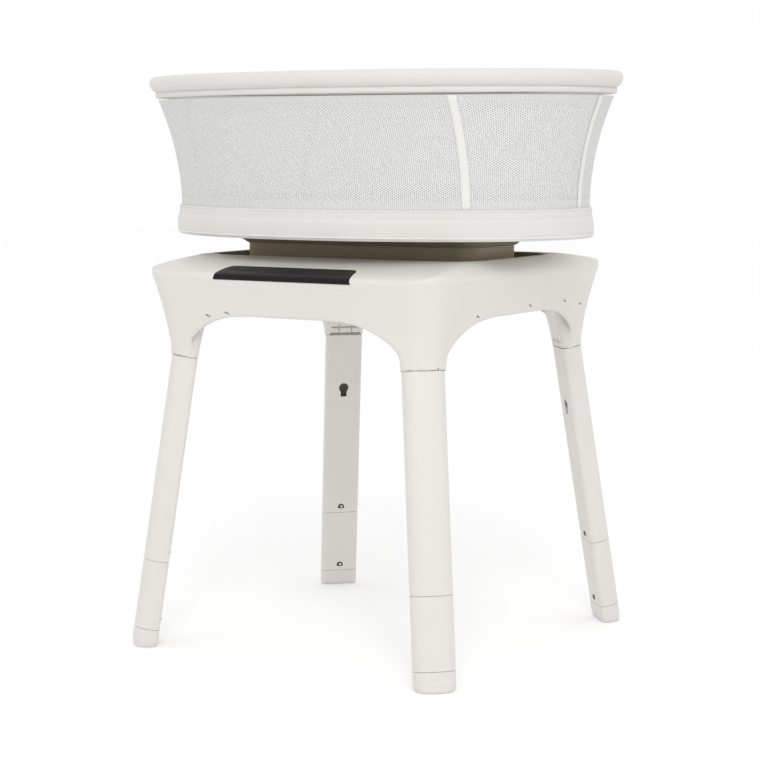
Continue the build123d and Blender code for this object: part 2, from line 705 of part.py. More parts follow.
def motor_cradle():
    """Cradle that holds the sway motor on the tray."""
    with BuildPart() as cradle:
        with BuildSketch(Plane.XY.offset(TRAY_TOP)):
            with Locations((-PINION_WIDTH - SWAY_MOTOR_LENGTH / 2, 0)):
                Rectangle(SWAY_MOTOR_LENGTH * 0.7, 1.8 * SWAY_MOTOR_R)
        extrude(amount=SWAY_AXIS_Z - TRAY_TOP)
        with BuildSketch(Plane.YZ.offset(-PINION_WIDTH - SWAY_MOTOR_LENGTH)):
            with Locations((0, SWAY_AXIS_Z)):
                Circle(SWAY_MOTOR_R + RUN)
        extrude(amount=SWAY_MOTOR_LENGTH, mode=Mode.SUBTRACT)
    return cradle


def lift_posts():
    """Two steel posts that stand on the carriage."""
    with BuildPart() as posts:
        with BuildSketch(Plane.XY.offset(CARRIAGE_TOP)):
            with Locations((-LIFT_POST_X, 0), (LIFT_POST_X, 0)):
                Circle(LIFT_POST_R)
        extrude(amount=LIFT_POST_TOP - CARRIAGE_TOP)
    return posts


def lift_frame():
    """Frame that rides up the posts on two bushings, with the lift's rack hanging from it."""
    with BuildPart() as frame:
        slab(LIFT_POST_X + FRAME_MARGIN, FRAME_HALF_Y, FRAME_PLATE_Z, FRAME_TOP)
        with BuildSketch(Plane.XY.offset(BUSH_Z)):
            with Locations((-LIFT_POST_X, 0), (LIFT_POST_X, 0)):
                Circle(LIFT_POST_R + LIFT_BUSH_WALL)
                Circle(LIFT_POST_R + RUN, mode=Mode.SUBTRACT)
        extrude(amount=FRAME_PLATE_Z - BUSH_Z)
        with BuildSketch(Plane.XY.offset(CARRIAGE_TOP + RACK_FLOOR)):
            with Locations((0, LIFT_PINION_R + RUN + RACK_WIDTH / 2)):
                Rectangle(RACK_WIDTH, RACK_WIDTH)
        extrude(amount=FRAME_PLATE_Z - CARRIAGE_TOP - RACK_FLOOR)
    return frame


def tower_shroud():
    """Dark casing over the lift, open below."""
    with BuildPart() as shroud:
        slab(TOWER_HALF_X, TOWER_HALF_Y, TOWER_BASE_Z, TOWER_TOP_Z, TOWER_CORNER)
        with BuildSketch(Plane.XY.offset(TOWER_BASE_Z)):
            half_x = TOWER_HALF_X - TOWER_WALL
            half_y = TOWER_HALF_Y - TOWER_WALL
            RectangleRounded(2 * half_x, 2 * half_y, TOWER_CORNER - TOWER_WALL)
        extrude(amount=TOWER_TOP_Z - TOWER_WALL - TOWER_BASE_Z, mode=Mode.SUBTRACT)
    return shroud


def mount_plate():
    """Plate on the tower with the two pegs that locate the basket."""
    with BuildPart() as plate:
        slab(MOUNT_HALF_X, MOUNT_HALF_Y, TOWER_TOP_Z, TOWER_TOP_Z + MOUNT_THICK, 12)
        with BuildSketch(Plane.XY.offset(TOWER_TOP_Z + MOUNT_THICK)):
            with Locations((-MOUNT_PEG_X, 0), (MOUNT_PEG_X, 0)):
                Circle(MOUNT_PEG_R)
        extrude(amount=MOUNT_PEG_HEIGHT)
    return plate


def circuit_board(centre_x, centre_y, bottom, size_x, size_y):
    """Circuit board with a row of components."""
    with BuildPart() as board:
        with BuildSketch(Plane.XY.offset(bottom)):
            with Locations((centre_x, centre_y)):
                Rectangle(size_x, size_y)
        extrude(amount=BOARD_SHEET)
        with BuildSketch(Plane.XY.offset(bottom)):
            with Locations((centre_x, centre_y)):
                with GridLocations(size_x / 4, 0, 3, 1):
                    Rectangle(size_x / 8, size_y / 2)
        extrude(amount=-CHIP_HEIGHT)
    return board


# ---------------------------------------------------------------- basket
def oval_loft(rows, mode=Mode.ADD):
    """Loft ovals in the open part, each given by its height and how far it lies inside the rim."""
    rings = []
    for height, inset in rows:
        with BuildSketch(Plane.XY.offset(height)) as ring:
            Ellipse(RIM_A - inset, RIM_B - inset)
        rings.append(ring.sketch)
    loft(rings, ruled=True, mode=mode)


def oval_tube_rows(height, inset, radius, side):
    """Rows for one side of a round tube, outer (-1) or inner (+1), bent to the oval."""
    rows = []
    for step in range(7):
        angle = radians(-90 + 30 * step)
        rows.append((height + radius * sin(angle), inset + side * radius * cos(angle)))
    return rows


def oval_tube(height, inset, radius):
    """Round tube bent to the oval."""
    with BuildPart() as tube:
        oval_loft(oval_tube_rows(height, inset, radius, -1))
        oval_loft(oval_tube_rows(height, inset, radius, 1), Mode.SUBTRACT)
    return tube


def oval_ring(outer, inner):
    """Closed ring between an outer and an inner loft of ovals."""
    with BuildPart() as ring:
        oval_loft(outer)
        oval_loft(inner, Mode.SUBTRACT)
    return ring


TUBE_Z = (RIM_TOP_Z + RIM_BOTTOM_Z) / 2 + 1
RIM_ROUND = ((0.0, 9.0), (0.13, 4.0), (0.33, 0.8), (0.63, 0.0), (0.87, 3.5), (1.0, 10.0))


def rim_cover():
    """Padded roll round the rim tube."""
    outer = [(mix(RIM_BOTTOM_Z, RIM_TOP_Z, up), inset) for up, inset in RIM_ROUND]
    inner = [(height, RIM_WIDTH - inset / 2) for height, inset in outer]
    tube = oval_tube(TUBE_Z, RIM_WIDTH / 2, RIM_TUBE_R + FIT)
    with BuildPart() as cover:
        oval_loft(outer)
        oval_loft(inner, Mode.SUBTRACT)
        add(tube.part, mode=Mode.SUBTRACT)
    return cover


def mesh_rows(shift):
    """Rows of the mesh wall, from its bottom to its top, shifted inwards by a small amount."""
    rows = []
    for up, share in MESH_FLARE:
        height = mix(MESH_BOTTOM_Z + GAP, BINDING_Z - GAP, up)
        rows.append((height, mix(MESH_BOTTOM_INSET, MESH_TOP_INSET, share) + shift))
    return rows


def sector(start, end):
    """Draw a wide sector between two directions in the open sketch."""
    reach = 2 * RIM_A
    steps = 6
    turns = [radians(start + (end - start) * step / steps) for step in range(steps + 1)]
    with BuildLine() as outline:
        Polyline((0, 0), *[(reach * cos(turn), reach * sin(turn)) for turn in turns], close=True)
    make_face(outline.edges())


def mesh_panel(start, end):
    """One panel of the mesh wall, between two seams."""
    trim = 0.1
    with BuildPart() as panel:
        oval_loft(mesh_rows(0))
        oval_loft(mesh_rows(MESH_THICK), Mode.SUBTRACT)
        with BuildSketch(Plane.XY.offset(MESH_BOTTOM_Z)):
            sector(start + trim, end - trim)
        extrude(amount=BINDING_Z - MESH_BOTTOM_Z, mode=Mode.INTERSECT)
    return panel


def seam_tapes():
    """Four tapes that cover the seams between the mesh panels."""
    with BuildPart() as tapes:
        oval_loft(mesh_rows(-TAPE_THICK - 0.2))
        oval_loft(mesh_rows(-0.2), Mode.SUBTRACT)
        with BuildSketch(Plane.XY.offset(MESH_BOTTOM_Z)):
            for angle in SEAM_ANGLES:
                with Locations(Location((RIM_A * cos(radians(angle)), RIM_A * sin(radians(angle))), angle)):
                    Rectangle(RIM_A * 1.6, TAPE_WIDTH)
        extrude(amount=BINDING_Z - MESH_BOTTOM_Z, mode=Mode.INTERSECT)
    return tapes


def basket_pan():
    """Dark pan under the basket that drops over the mount plate and its pegs."""
    bottom = TOWER_TOP_Z + GAP
    rise = SKIRT_BOTTOM_Z - bottom
    half_x = TOWER_HALF_X + 2
    half_y = TOWER_HALF_Y + 2
    rows = ((0.0, 0.0), (0.33, 0.16), (0.67, 0.47), (1.0, 1.0))
    with BuildPart() as pan:
        sections = []
        for up, out in rows:
            spread = PAN_FLARE * out
            corner = TOWER_CORNER + spread / 2
            sections.append((bottom + rise * up, half_x + spread, half_y + spread, corner))
        sections.append((FLOOR_Z, half_x + PAN_FLARE, half_y + PAN_FLARE, TOWER_CORNER + PAN_FLARE / 2))
        loft_sections(sections)
        with BuildSketch(Plane.XY.offset(bottom)):
            RectangleRounded(2 * (MOUNT_HALF_X + GAP), 2 * (MOUNT_HALF_Y + GAP), 12 + GAP)
        extrude(amount=MOUNT_THICK, mode=Mode.SUBTRACT)
        with BuildSketch(Plane.XY.offset(bottom)):
            with Locations((-MOUNT_PEG_X, 0), (MOUNT_PEG_X, 0)):
                Circle(MOUNT_PEG_R + FIT)
        extrude(amount=MOUNT_THICK + MOUNT_PEG_HEIGHT + GAP, mode=Mode.SUBTRACT)
    return pan


def oval_plate(bottom, top, inset):
    """Flat oval plate."""
    with BuildPart() as plate:
        with BuildSketch(Plane.XY.offset(bottom)):
            Ellipse(RIM_A - inset, RIM_B - inset)
        extrude(amount=top - bottom)
    return plate


def mattress():
    """Oval pad with softened edges."""
    bottom = BOARD_TOP + GAP
    top = bottom + MATTRESS_THICK
    soft = 6.0
    inset = SKIRT_INNER + 3
    rows = [(bottom, inset + soft / 2), (bottom + soft, inset), (top - soft, inset), (top, inset + soft)]
    with BuildPart() as pad:
        oval_loft(rows)
    return pad


SKIRT_INNER = SKIRT_INSET + SKIRT_THICK
FLOOR_Z = SKIRT_BOTTOM_Z + 3.0
BOARD_Z = FLOOR_Z + FABRIC_THICK
BOARD_TOP = BOARD_Z + BOARD_THICK

# ---------------------------------------------------------------- build every piece
for place, corner in CORNERS.items():
    save(f"leg_upper_{place}", upper_leg(corner))
    save(f"leg_lower_{place}", lower_leg(corner))
    save(f"foot_cap_{place}", foot_cap(corner))
    save(f"leg_button_{place}", snap_button(corner, MID_BUTTON))
    save(f"foot_button_{place}", snap_button(corner, FOOT_BUTTON))
save("foot_pads", foot_pads())

save("hub_shell", hub_shell())
save("hub_underside", hub_underside())
save("cover_screws", cover_screws())
save("recess_liner", recess_liner())
save("liner_posts", liner_posts())
save("control_glass", control_glass())
save("control_board", circuit_board(0, PANEL_BOARD_Y, PANEL_BOARD_Z, 180, 24))
save("main_board", circuit_board(160, 40, TRAY_TOP + CHIP_HEIGHT, 80, 60))
save("power_inlet", power_inlet())

save("drive_tray", drive_tray())
save("sway_rails", sway_rails())
save("rail_blocks", rail_blocks())
save("motor_cradle", motor_cradle())
save("sway_motor", motor(SWAY_AXIS_Z, SWAY_MOTOR_R, SWAY_MOTOR_LENGTH))
save("sway_pinion", pinion(SWAY_AXIS_Z, SWAY_PINION_R))
save("sway_carriage", sway_carriage())
save("lift_posts", lift_posts())
save("lift_motor", motor(LIFT_AXIS_Z, LIFT_MOTOR_R, LIFT_MOTOR_LENGTH))
save("lift_pinion", pinion(LIFT_AXIS_Z, LIFT_PINION_R))
save("lift_frame", lift_frame())
save("tower_shroud", tower_shroud())
save("mount_plate", mount_plate())

save("basket_pan", basket_pan())
save("floor_fabric", oval_plate(FLOOR_Z, BOARD_Z, SKIRT_INNER + GAP))
save("floor_board", oval_plate(BOARD_Z, BOARD_TOP, SKIRT_INNER + GAP))
save("mattress", mattress())

SKIRT_SHAPE = ((0.0, 4.5), (0.1, 1.5), (0.4, 0.0), (0.8, 2.5), (1.0, 6.0))
skirt_outer = [(mix(SKIRT_BOTTOM_Z, SKIRT_TOP_Z, up), SKIRT_INSET + inset) for up, inset in SKIRT_SHAPE]
skirt_inner = [(SKIRT_BOTTOM_Z, SKIRT_INNER), (SKIRT_TOP_Z, SKIRT_INNER)]
save("skirt_band", oval_ring(skirt_outer, skirt_inner))

band_top = MESH_BOTTOM_Z
band_bottom = SKIRT_TOP_Z + FIT
band_inset = MESH_BOTTOM_INSET - 0.5
band_outer = [(band_bottom, band_inset), (band_top, band_inset)]
band_inner = [(band_bottom, band_inset + 3), (band_top, band_inset + 3)]
save("lower_binding", oval_ring(band_outer, band_inner))

PIPING_R = 1.3
save("skirt_piping", oval_tube(SKIRT_BOTTOM_Z + 5, SKIRT_INSET - PIPING_R + 0.6, PIPING_R))

walls = list(SEAM_ANGLES) + [360.0]
names = ("back_long", "back_short", "front_long", "front_short")
for name, start, end in zip(names, walls, walls[1:]):
    save(f"mesh_{name}", mesh_panel(start, end))
save("seam_tapes", seam_tapes())

binding_inset = MESH_TOP_INSET - 3.0
binding_outer = [(BINDING_Z, binding_inset), (RIM_BOTTOM_Z - FIT, binding_inset - 2)]
binding_inner = [(height, inset + 4) for height, inset in binding_outer]
save("rim_binding", oval_ring(binding_outer, binding_inner))
save("rim_tube", oval_tube(TUBE_Z, RIM_WIDTH / 2, RIM_TUBE_R))
save("rim_cover", rim_cover())
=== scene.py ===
# %% [markdown]
# # A bassinet on a motorised stand
#
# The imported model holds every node, place and joint. This file gives it its looks: a smooth moulded
# platform, see-through mesh sides, a padded rim and skirt, a mattress, and a finish for every piece.
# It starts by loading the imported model. New pieces take their outer sizes from the boxes of the old
# ones, and their finer sizes are typed here.

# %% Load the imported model
import bpy
import bmesh
import json
import math
import numpy as np
from mathutils import Matrix, Vector


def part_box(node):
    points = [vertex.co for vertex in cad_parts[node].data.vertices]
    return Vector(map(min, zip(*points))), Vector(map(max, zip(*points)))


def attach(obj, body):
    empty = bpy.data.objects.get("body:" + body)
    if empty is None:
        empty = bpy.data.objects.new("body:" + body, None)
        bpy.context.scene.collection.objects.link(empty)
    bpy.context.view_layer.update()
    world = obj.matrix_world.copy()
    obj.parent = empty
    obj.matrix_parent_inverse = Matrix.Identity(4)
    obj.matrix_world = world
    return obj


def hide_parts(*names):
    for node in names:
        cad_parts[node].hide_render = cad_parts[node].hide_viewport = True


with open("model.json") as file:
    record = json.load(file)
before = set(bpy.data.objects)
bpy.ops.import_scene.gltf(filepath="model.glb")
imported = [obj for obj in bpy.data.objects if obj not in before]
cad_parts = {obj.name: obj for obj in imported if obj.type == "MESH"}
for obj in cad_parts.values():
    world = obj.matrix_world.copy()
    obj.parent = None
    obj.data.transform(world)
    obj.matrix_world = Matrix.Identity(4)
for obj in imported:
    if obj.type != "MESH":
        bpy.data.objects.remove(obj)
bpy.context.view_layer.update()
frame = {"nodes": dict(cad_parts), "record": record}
MM = 0.001

# %% [markdown]
# ## Sizes from the model
#
# The platform's edge, the rim's length and width and the heights of the soft bands are read from the
# boxes of the model's own nodes, in millimetres. The rest is typed: the insets and seam places here, the
# collars and legs further down, and every profile, colour, lamp and the camera. Those were fitted, so
# they don't move when the model's sizes change.

# %% Read the sizes
def low(node):
    """Lowest corner of a node, in millimetres."""
    return np.array(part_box(node)[0]) / MM


def high(node):
    """Highest corner of a node, in millimetres."""
    return np.array(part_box(node)[1]) / MM


RIM_A, RIM_B = high("rim_cover")[:2]
RIM_LOW, RIM_HIGH = low("rim_cover")[2], high("rim_cover")[2]
MESH_LOW, MESH_HIGH = low("mesh_front_long")[2], high("mesh_front_long")[2]
SKIRT_LOW, SKIRT_HIGH = low("skirt_band")[2], high("skirt_band")[2]
EDGE_HALF = high("hub_shell")[0]
LIP = high("hub_shell")[2]
OPEN_X, OPEN_Y = high("recess_liner")[:2] + 0.4
MESH_TOP_INSET = 15.0
MESH_BOTTOM_INSET = 52.0
SKIRT_INSET = RIM_A - high("skirt_band")[0]
SEAMS = (0.0, 143.6, 180.0, 323.6)
TAPE_WIDTH = 12.0
SEAM_X = 258.0
print("rim", RIM_A, RIM_B, "edge", EDGE_HALF, "opening", OPEN_X, OPEN_Y)

# %% [markdown]
# ## Writing a shader as sums
#
# A finish is easier to read as arithmetic than as a list of wires. `Value` wraps a socket, so that
# `1 - mask * 0.5` adds the Math nodes by itself. `Finish` makes every other node in one way.

# %% Shader helpers
class Value:
    """A number that varies over a surface."""

    def __init__(self, finish, socket):
        self.finish = finish
        self.socket = socket

    def math(self, operation, other=None, first=False):
        """This number and another through one Math node."""
        pair = [self] if other is None else ([other, self] if first else [self, other])
        return self.finish.node("ShaderNodeMath", {"operation": operation}, pair)

    def __add__(self, other):
        return self.math("ADD", other)

    __radd__ = __add__

    def __mul__(self, other):
        return self.math("MULTIPLY", other)

    __rmul__ = __mul__

    def __sub__(self, other):
        return self.math("SUBTRACT", other)

    def __rsub__(self, other):
        return self.math("SUBTRACT", other, first=True)


class Finish:
    """A material under construction."""

    def __init__(self, name, **constants):
        self.material = bpy.data.materials.new(name)
        self.material.use_nodes = True
        self.tree = self.material.node_tree
        self.shader = self.tree.nodes["Principled BSDF"]
        for socket, value in constants.items():
            self.shader.inputs[socket.replace("_", " ")].default_value = value

    def node(self, kind, settings=None, inputs=(), output=0):
        """Add a node: its settings first, then its sockets' values or links."""
        made = self.tree.nodes.new(kind)
        for key, value in (settings or {}).items():
            setattr(made, key, value)
        pairs = inputs.items() if isinstance(inputs, dict) else enumerate(inputs)
        for key, value in pairs:
            if isinstance(value, Value):
                self.tree.links.new(value.socket, made.inputs[key])
            else:
                made.inputs[key].default_value = value
        return Value(self, made.outputs[output])

    def place(self):
        """Object coordinates, in metres."""
        return self.node("ShaderNodeTexCoord", output="Object")

    def cloth_map(self):
        """The piece's own map, in metres along and across the cloth."""
        return self.node("ShaderNodeUVMap", {"uv_map": "cloth"})

    def noise(self, scale, detail=3.0, at=None):
        """Cloudy value from 0 to 1."""
        at = at or self.place()
        return self.node("ShaderNodeTexNoise", {}, {"Vector": at, "Scale": scale, "Detail": detail})

    def parts(self, vector):
        """The separate numbers of a vector."""
        made = self.tree.nodes.new("ShaderNodeSeparateXYZ")
        self.tree.links.new(vector.socket, made.inputs[0])
        return [Value(self, output) for output in made.outputs]

    def between(self, value, start, end):
        """0 below start, 1 above end, smooth between."""
        return self.node("ShaderNodeMapRange", {"interpolation_type": "SMOOTHSTEP"},
                         {"Value": value, "From Min": start, "From Max": end})

    def blend(self, share, first, second):
        """Colour between two colours."""
        return self.node("ShaderNodeMix", {"data_type": "RGBA"}, {0: share, 6: first, 7: second}, 2)

    def bump(self, height, strength, distance):
        """Send a height to the surface's normal."""
        made = self.node("ShaderNodeBump", {},
                         {"Height": height, "Strength": strength, "Distance": distance})
        self.send("Normal", made)

    def send(self, socket, value):
        """Link a value to one of the surface's sockets."""
        self.tree.links.new(value.socket, self.shader.inputs[socket])


def shade(colour, factor):
    """The same colour, lighter or darker."""
    return tuple(channel * factor for channel in colour[:3]) + (1.0,)


# %% [markdown]
# ## Moulded plastics and metals
#
# Moulded plastic is never one flat colour. A fine spark-eroded grain breaks up the light, slow clouds
# shift its colour a little, and its polish varies. One recipe covers white, taupe and black parts, and
# only the numbers change. Metals get a brushed grain, stretched along one direction.

# %% Plastic and metal finishes
def plastic(name, colour, roughness, grain=1400.0, depth=0.00006, mottle=0.035, gloss=0.5):
    finish = Finish(name, Specular_IOR_Level=gloss)
    clouds = finish.noise(9.0)
    fine = finish.noise(grain, 2.0)
    base = finish.blend(clouds, shade(colour, 1 - mottle), shade(colour, 1 + mottle * 0.4))
    finish.send("Base Color", base)
    finish.send("Roughness", (clouds - 0.5) * 0.08 + (fine - 0.5) * 0.06 + roughness)
    finish.bump(fine, 0.25, depth)
    return finish.material


def brushed(name, colour, roughness, metallic=1.0):
    finish = Finish(name, Metallic=metallic)
    along = finish.node("ShaderNodeMapping", {}, {"Vector": finish.place(), "Scale": (900.0, 40.0, 900.0)})
    lines = finish.noise(1.0, 2.0, along)
    finish.send("Base Color", finish.blend(lines, shade(colour, 0.86), shade(colour, 1.05)))
    finish.send("Roughness", lines * 0.18 + (roughness - 0.09))
    finish.bump(lines, 0.2, 0.00004)
    return finish.material


WHITE = (0.66, 0.643, 0.608)
TAUPE = (0.36, 0.305, 0.2)
FINISHES = {
    "shell_white": plastic("moulded_white", WHITE, 0.42),
    "leg_white": plastic("leg_white", (0.665, 0.648, 0.612), 0.4),
    "cover_white": plastic("cover_white", (0.62, 0.605, 0.58), 0.5),
    # Painted shade: the flush snap buttons are coloured near black to stand for the dark inside of a hole.
    "button_white": plastic("snap_hole_painted_shade", (0.05, 0.042, 0.035), 0.6),
    "pad_rubber": plastic("pad_rubber", (0.3, 0.29, 0.28), 0.75, 700.0, 0.0001, 0.08),
    "taupe_plastic": plastic("taupe_plastic", TAUPE, 0.55, 1100.0, 0.00008, 0.07),
    "black_gloss": plastic("black_gloss", (0.006, 0.005, 0.004), 0.22, 500.0, 0.000004, 0.1, 0.2),
    "black_plastic": plastic("black_plastic", (0.018, 0.018, 0.018), 0.45),
    "circuit_board": plastic("circuit_board", (0.03, 0.17, 0.07), 0.38, 260.0, 0.0001, 0.25),
    "steel": brushed("zinc_steel", (0.56, 0.56, 0.57), 0.34),
    "motor_metal": brushed("motor_metal", (0.46, 0.46, 0.47), 0.4),
    "aluminium_frame": brushed("mill_aluminium", (0.7, 0.7, 0.71), 0.36),
    "board": brushed("pressed_board", (0.36, 0.23, 0.12), 0.75, 0.0),
}
print("finishes", len(FINISHES))

# %% [markdown]
# ## Cloth finishes
#
# Three cloths are used. The rim, skirt and mattress wear a close plain weave, whose threads cross in a
# fine check. The tapes are ribbed across, and each rib's groove is coloured darker as painted shade. The
# sides are a knitted mesh: its round holes lie in a triangular pattern, which three waves turned by a third
# of a turn draw, and where the sum is high the cloth is open. Round the holes the yarn's colour is
# darkened as painted shade. Where the mesh is folded into a hem it lies double, so less light comes
# through, and there the painted shade varies less.

# %% Weave, tape and mesh
TURN = 2 * math.pi


def weave(name, colour, thread):
    finish = Finish(name, Roughness=0.9, Sheen_Weight=0.25, Sheen_Roughness=0.5)
    along, across, _ = finish.parts(finish.cloth_map())
    warp = (along * (TURN / thread)).math("SINE")
    weft = (across * (TURN / thread)).math("SINE")
    check = warp * weft
    slub = finish.noise(260.0, 4.0)
    clouds = finish.noise(14.0)
    tone = slub * 0.6 + clouds * 0.4
    finish.send("Base Color", finish.blend(tone, shade(colour, 0.93), shade(colour, 1.03)))
    finish.bump(check * 0.5 + slub * 0.8, 0.45, 0.00022)
    return finish.material


def ribbed(name, colour, pitch):
    finish = Finish(name, Roughness=0.85, Sheen_Weight=0.2, Sheen_Roughness=0.5)
    _, across, _ = finish.parts(finish.cloth_map())
    rib = (across * (TURN / pitch)).math("SINE")
    # Painted shade: each rib's groove is coloured darker, in step with the bump.
    finish.send("Base Color", finish.blend(rib * 0.5 + 0.5, shade(colour, 0.92), shade(colour, 1.02)))
    finish.bump(rib, 0.5, 0.0002)
    return finish.material


def knitted_mesh(name, colour, pitch, height):
    finish = Finish(name, Roughness=0.82, Sheen_Weight=0.15, Sheen_Roughness=0.5)
    along, across, _ = finish.parts(finish.cloth_map())
    wander = finish.noise(330.0, 2.0)
    along = along + (wander - 0.5) * 0.0024
    across_yarn = across + (wander - 0.5) * 0.0016
    wave = TURN / pitch
    first = (along * wave).math("COSINE")
    second = (along * (wave / 2) + across_yarn * (wave * 0.866)).math("COSINE")
    third = (along * (wave / 2) - across_yarn * (wave * 0.866)).math("COSINE")
    lattice = first + second + third
    hole = finish.between(lattice, 0.35, 1.2)
    shadow = finish.between(lattice, -0.9, 0.7)
    hem = 0.015
    low_hem = 1 - finish.between(across, hem - 0.001, hem + 0.001)
    high_hem = finish.between(across, height - hem - 0.001, height - hem + 0.001)
    doubled = low_hem.math("MAXIMUM", high_hem)
    yarn = finish.noise(420.0, 3.0)
    # Painted shade: the yarn is darkened towards the holes by shadow, with random yarn tone on top; in the
    # doubled hem the shade varies less.
    depth = shadow * (0.85 - doubled * 0.6) + (yarn - 0.5) * 0.5 + doubled * 0.2
    finish.send("Base Color", finish.blend(depth, shade(colour, 1.05), shade(colour, 0.32)))
    finish.send("Alpha", 1 - hole * (0.6 - doubled * 0.5))
    finish.bump(yarn * 0.5 - lattice * 0.3, 0.6, 0.0003)
    return finish.material


CLOTH = (0.66, 0.645, 0.618)
FINISHES["white_fabric"] = weave("white_weave", CLOTH, 0.0011)
FINISHES["mattress_fabric"] = weave("mattress_weave", (0.68, 0.67, 0.65), 0.0016)
FINISHES["tape_fabric"] = ribbed("seam_tape", (0.74, 0.735, 0.715), 0.0016)
THREAD = plastic("sewing_thread", (0.6, 0.55, 0.49), 0.8, 2400.0)

# %% [markdown]
# ## Give every model node its finish
#
# The record says which slot each node belongs to, so one loop does them. A slot without a finish yet
# is passed over. A node's shape is never touched: only its material changes.

# %% Dress the nodes
SLOT_OF = {row["node"]: row["material_slot"] for row in frame["record"]["subparts"]}
dressed = 0
for name, node in frame["nodes"].items():
    material = FINISHES.get(SLOT_OF[name])
    if material:
        node.data.materials.clear()
        node.data.materials.append(material)
        dressed += 1
print("nodes dressed", dressed, "of", len(SLOT_OF))

# %% [markdown]
# ## Making a piece
#
# Every new piece is made from points in millimetres, in the model's own frame. Its object stays at the
# origin. A cloth piece also gets a map in metres, so that its weave keeps about one scale.

# %% Piece helper
def piece(name, points, faces, slot, body, replaces=(), cloth=None, material=None):
    """Make a smooth mesh object on a body, and hide the model nodes it replaces."""
    mesh = bpy.data.meshes.new(name)
    mesh.from_pydata((np.asarray(points, float) * MM).tolist(), [], [list(map(int, f)) for f in faces])
    if cloth is not None:
        layer = mesh.uv_layers.new(name="cloth")
        corners = np.array(cloth, float).reshape(-1, 2)
        layer.data.foreach_set("uv", corners.ravel())
    mesh.polygons.foreach_set("use_smooth", [True] * len(mesh.polygons))
    mesh.materials.append(material or FINISHES[slot])
    mesh.validate()
    made = bpy.data.objects.new(name, mesh)
    bpy.context.scene.collection.objects.link(made)
    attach(made, body)
    if replaces:
        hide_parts(*replaces)
    return made


def face_outwards(made):
    """Turn a closed piece's faces outwards."""
    shape = bmesh.new()
    shape.from_mesh(made.data)
    bmesh.ops.recalc_face_normals(shape, faces=shape.faces)
    shape.to_mesh(made.data)
    shape.free()


def apply_first(made):
    """Apply a piece's first modifier."""
    with bpy.context.temp_override(object=made, active_object=made, selected_objects=[made]):
        bpy.ops.object.modifier_apply(modifier=made.modifiers[0].name)


# %% [markdown]
# ## The platform as a distance field
#
# The platform has no straight edge to build from: its walls swell outwards, its crown rises to a lip,
# and each corner melts into the collar over a leg. Such a shape is easiest to say as a distance. A
# function gives, for any point, how far it is from the surface. Two shapes are joined by the smaller
# distance and cut by the larger, and a rounded smaller or larger leaves a fillet where they meet.

# %% Distances of the platform
COLLAR_Z = 466.0
EDGE_Z = LIP - 26.0
APRON_Z = COLLAR_Z + 70.0
ROOT_HALF = 250.0
LEG_TOP = 225.6
LEAN = (277.0 - LEG_TOP) / COLLAR_Z
STRETCH = math.sqrt(1 + 2 * LEAN**2)
LEG_HALF, LEG_CORNER = 32, 7
LEG_OUT, LEG_IN, LEG_MIDDLE = 24, 13, -5.5
SHELL_WALL = 6.0
ARCH_REACH, ARCH_FALL = 105.0, APRON_Z - COLLAR_Z
COLLAR_RISE, COLLAR_WALL, SOCKET_RISE = 84, 3, 56
SWELL_START, SWELL_MORE, SWELL_RISE, SWELL_LAST = 0.6, 7, 73, 80
BOSS_X, BOSS_Y, BOSS_RADIUS, BOSS_LOW = 160, 236, 7, APRON_Z + 5.3
INLET = (-60.0, COLLAR_Z + 100.0, 5.9)


def round_max(a, b, radius):
    """The larger of two distances, with a fillet."""
    near = np.maximum(radius - np.abs(a - b), 0.0) / radius
    return np.maximum(a, b) + near * near * radius / 4


def round_min(a, b, radius):
    """The smaller of two distances, with a fillet."""
    return -round_max(-a, -b, radius)


def rounded_rect(x, y, half_x, half_y, corner):
    """Distance to a rounded rectangle."""
    over_x = np.abs(x) - half_x + corner
    over_y = np.abs(y) - half_y + corner
    outside = np.hypot(np.maximum(over_x, 0), np.maximum(over_y, 0))
    return outside + np.minimum(np.maximum(over_x, over_y), 0) - corner


def crown_height(x, y):
    """Height of the platform's top over a place."""
    along_x = (EDGE_HALF - np.abs(x)) / (EDGE_HALF - OPEN_X - 3)
    along_y = (EDGE_HALF - np.abs(y)) / (EDGE_HALF - OPEN_Y - 3)
    share = round_min(along_x, along_y, 0.5)
    rise = np.sqrt(np.clip(share, 0, 1)) + np.minimum(share, 0) * 3
    return EDGE_Z + (LIP - EDGE_Z) * rise


def platform_skin(x, y, z):
    """Distance to the platform's outer skin, before anything is cut."""
    up = np.clip((z - COLLAR_Z) / (EDGE_Z - COLLAR_Z), 0, 1)
    half = ROOT_HALF + (EDGE_HALF - ROOT_HALF) * up**1.45
    side = rounded_rect(x, y, half, half, 34 + 20 * up)
    return round_max(side, (z - crown_height(x, y)) * 0.75, 3.0)


def leg_place(x, y, z):
    """Place round the nearest leg: across it, outwards from its middle, and up from the collar seam."""
    dx, dy, dz = np.abs(x) - LEG_TOP, np.abs(y) - LEG_TOP, z - COLLAR_Z
    across = (dx - dy) / math.sqrt(2)
    spread = (dx + dy) / math.sqrt(2)
    lean = LEAN * math.sqrt(2)
    return across, (spread + lean * dz) / STRETCH, (dz - lean * spread) / STRETCH


def leg_section(across, out):
    """Distance to the leg's D-shaped section."""
    round_side = rounded_rect(across, np.maximum(out - LEG_MIDDLE, 0), LEG_HALF, LEG_OUT, LEG_OUT)
    flat_side = rounded_rect(across, np.minimum(out - LEG_MIDDLE, 0), LEG_HALF, LEG_IN, LEG_CORNER)
    return np.where(out > LEG_MIDDLE, round_side, flat_side)


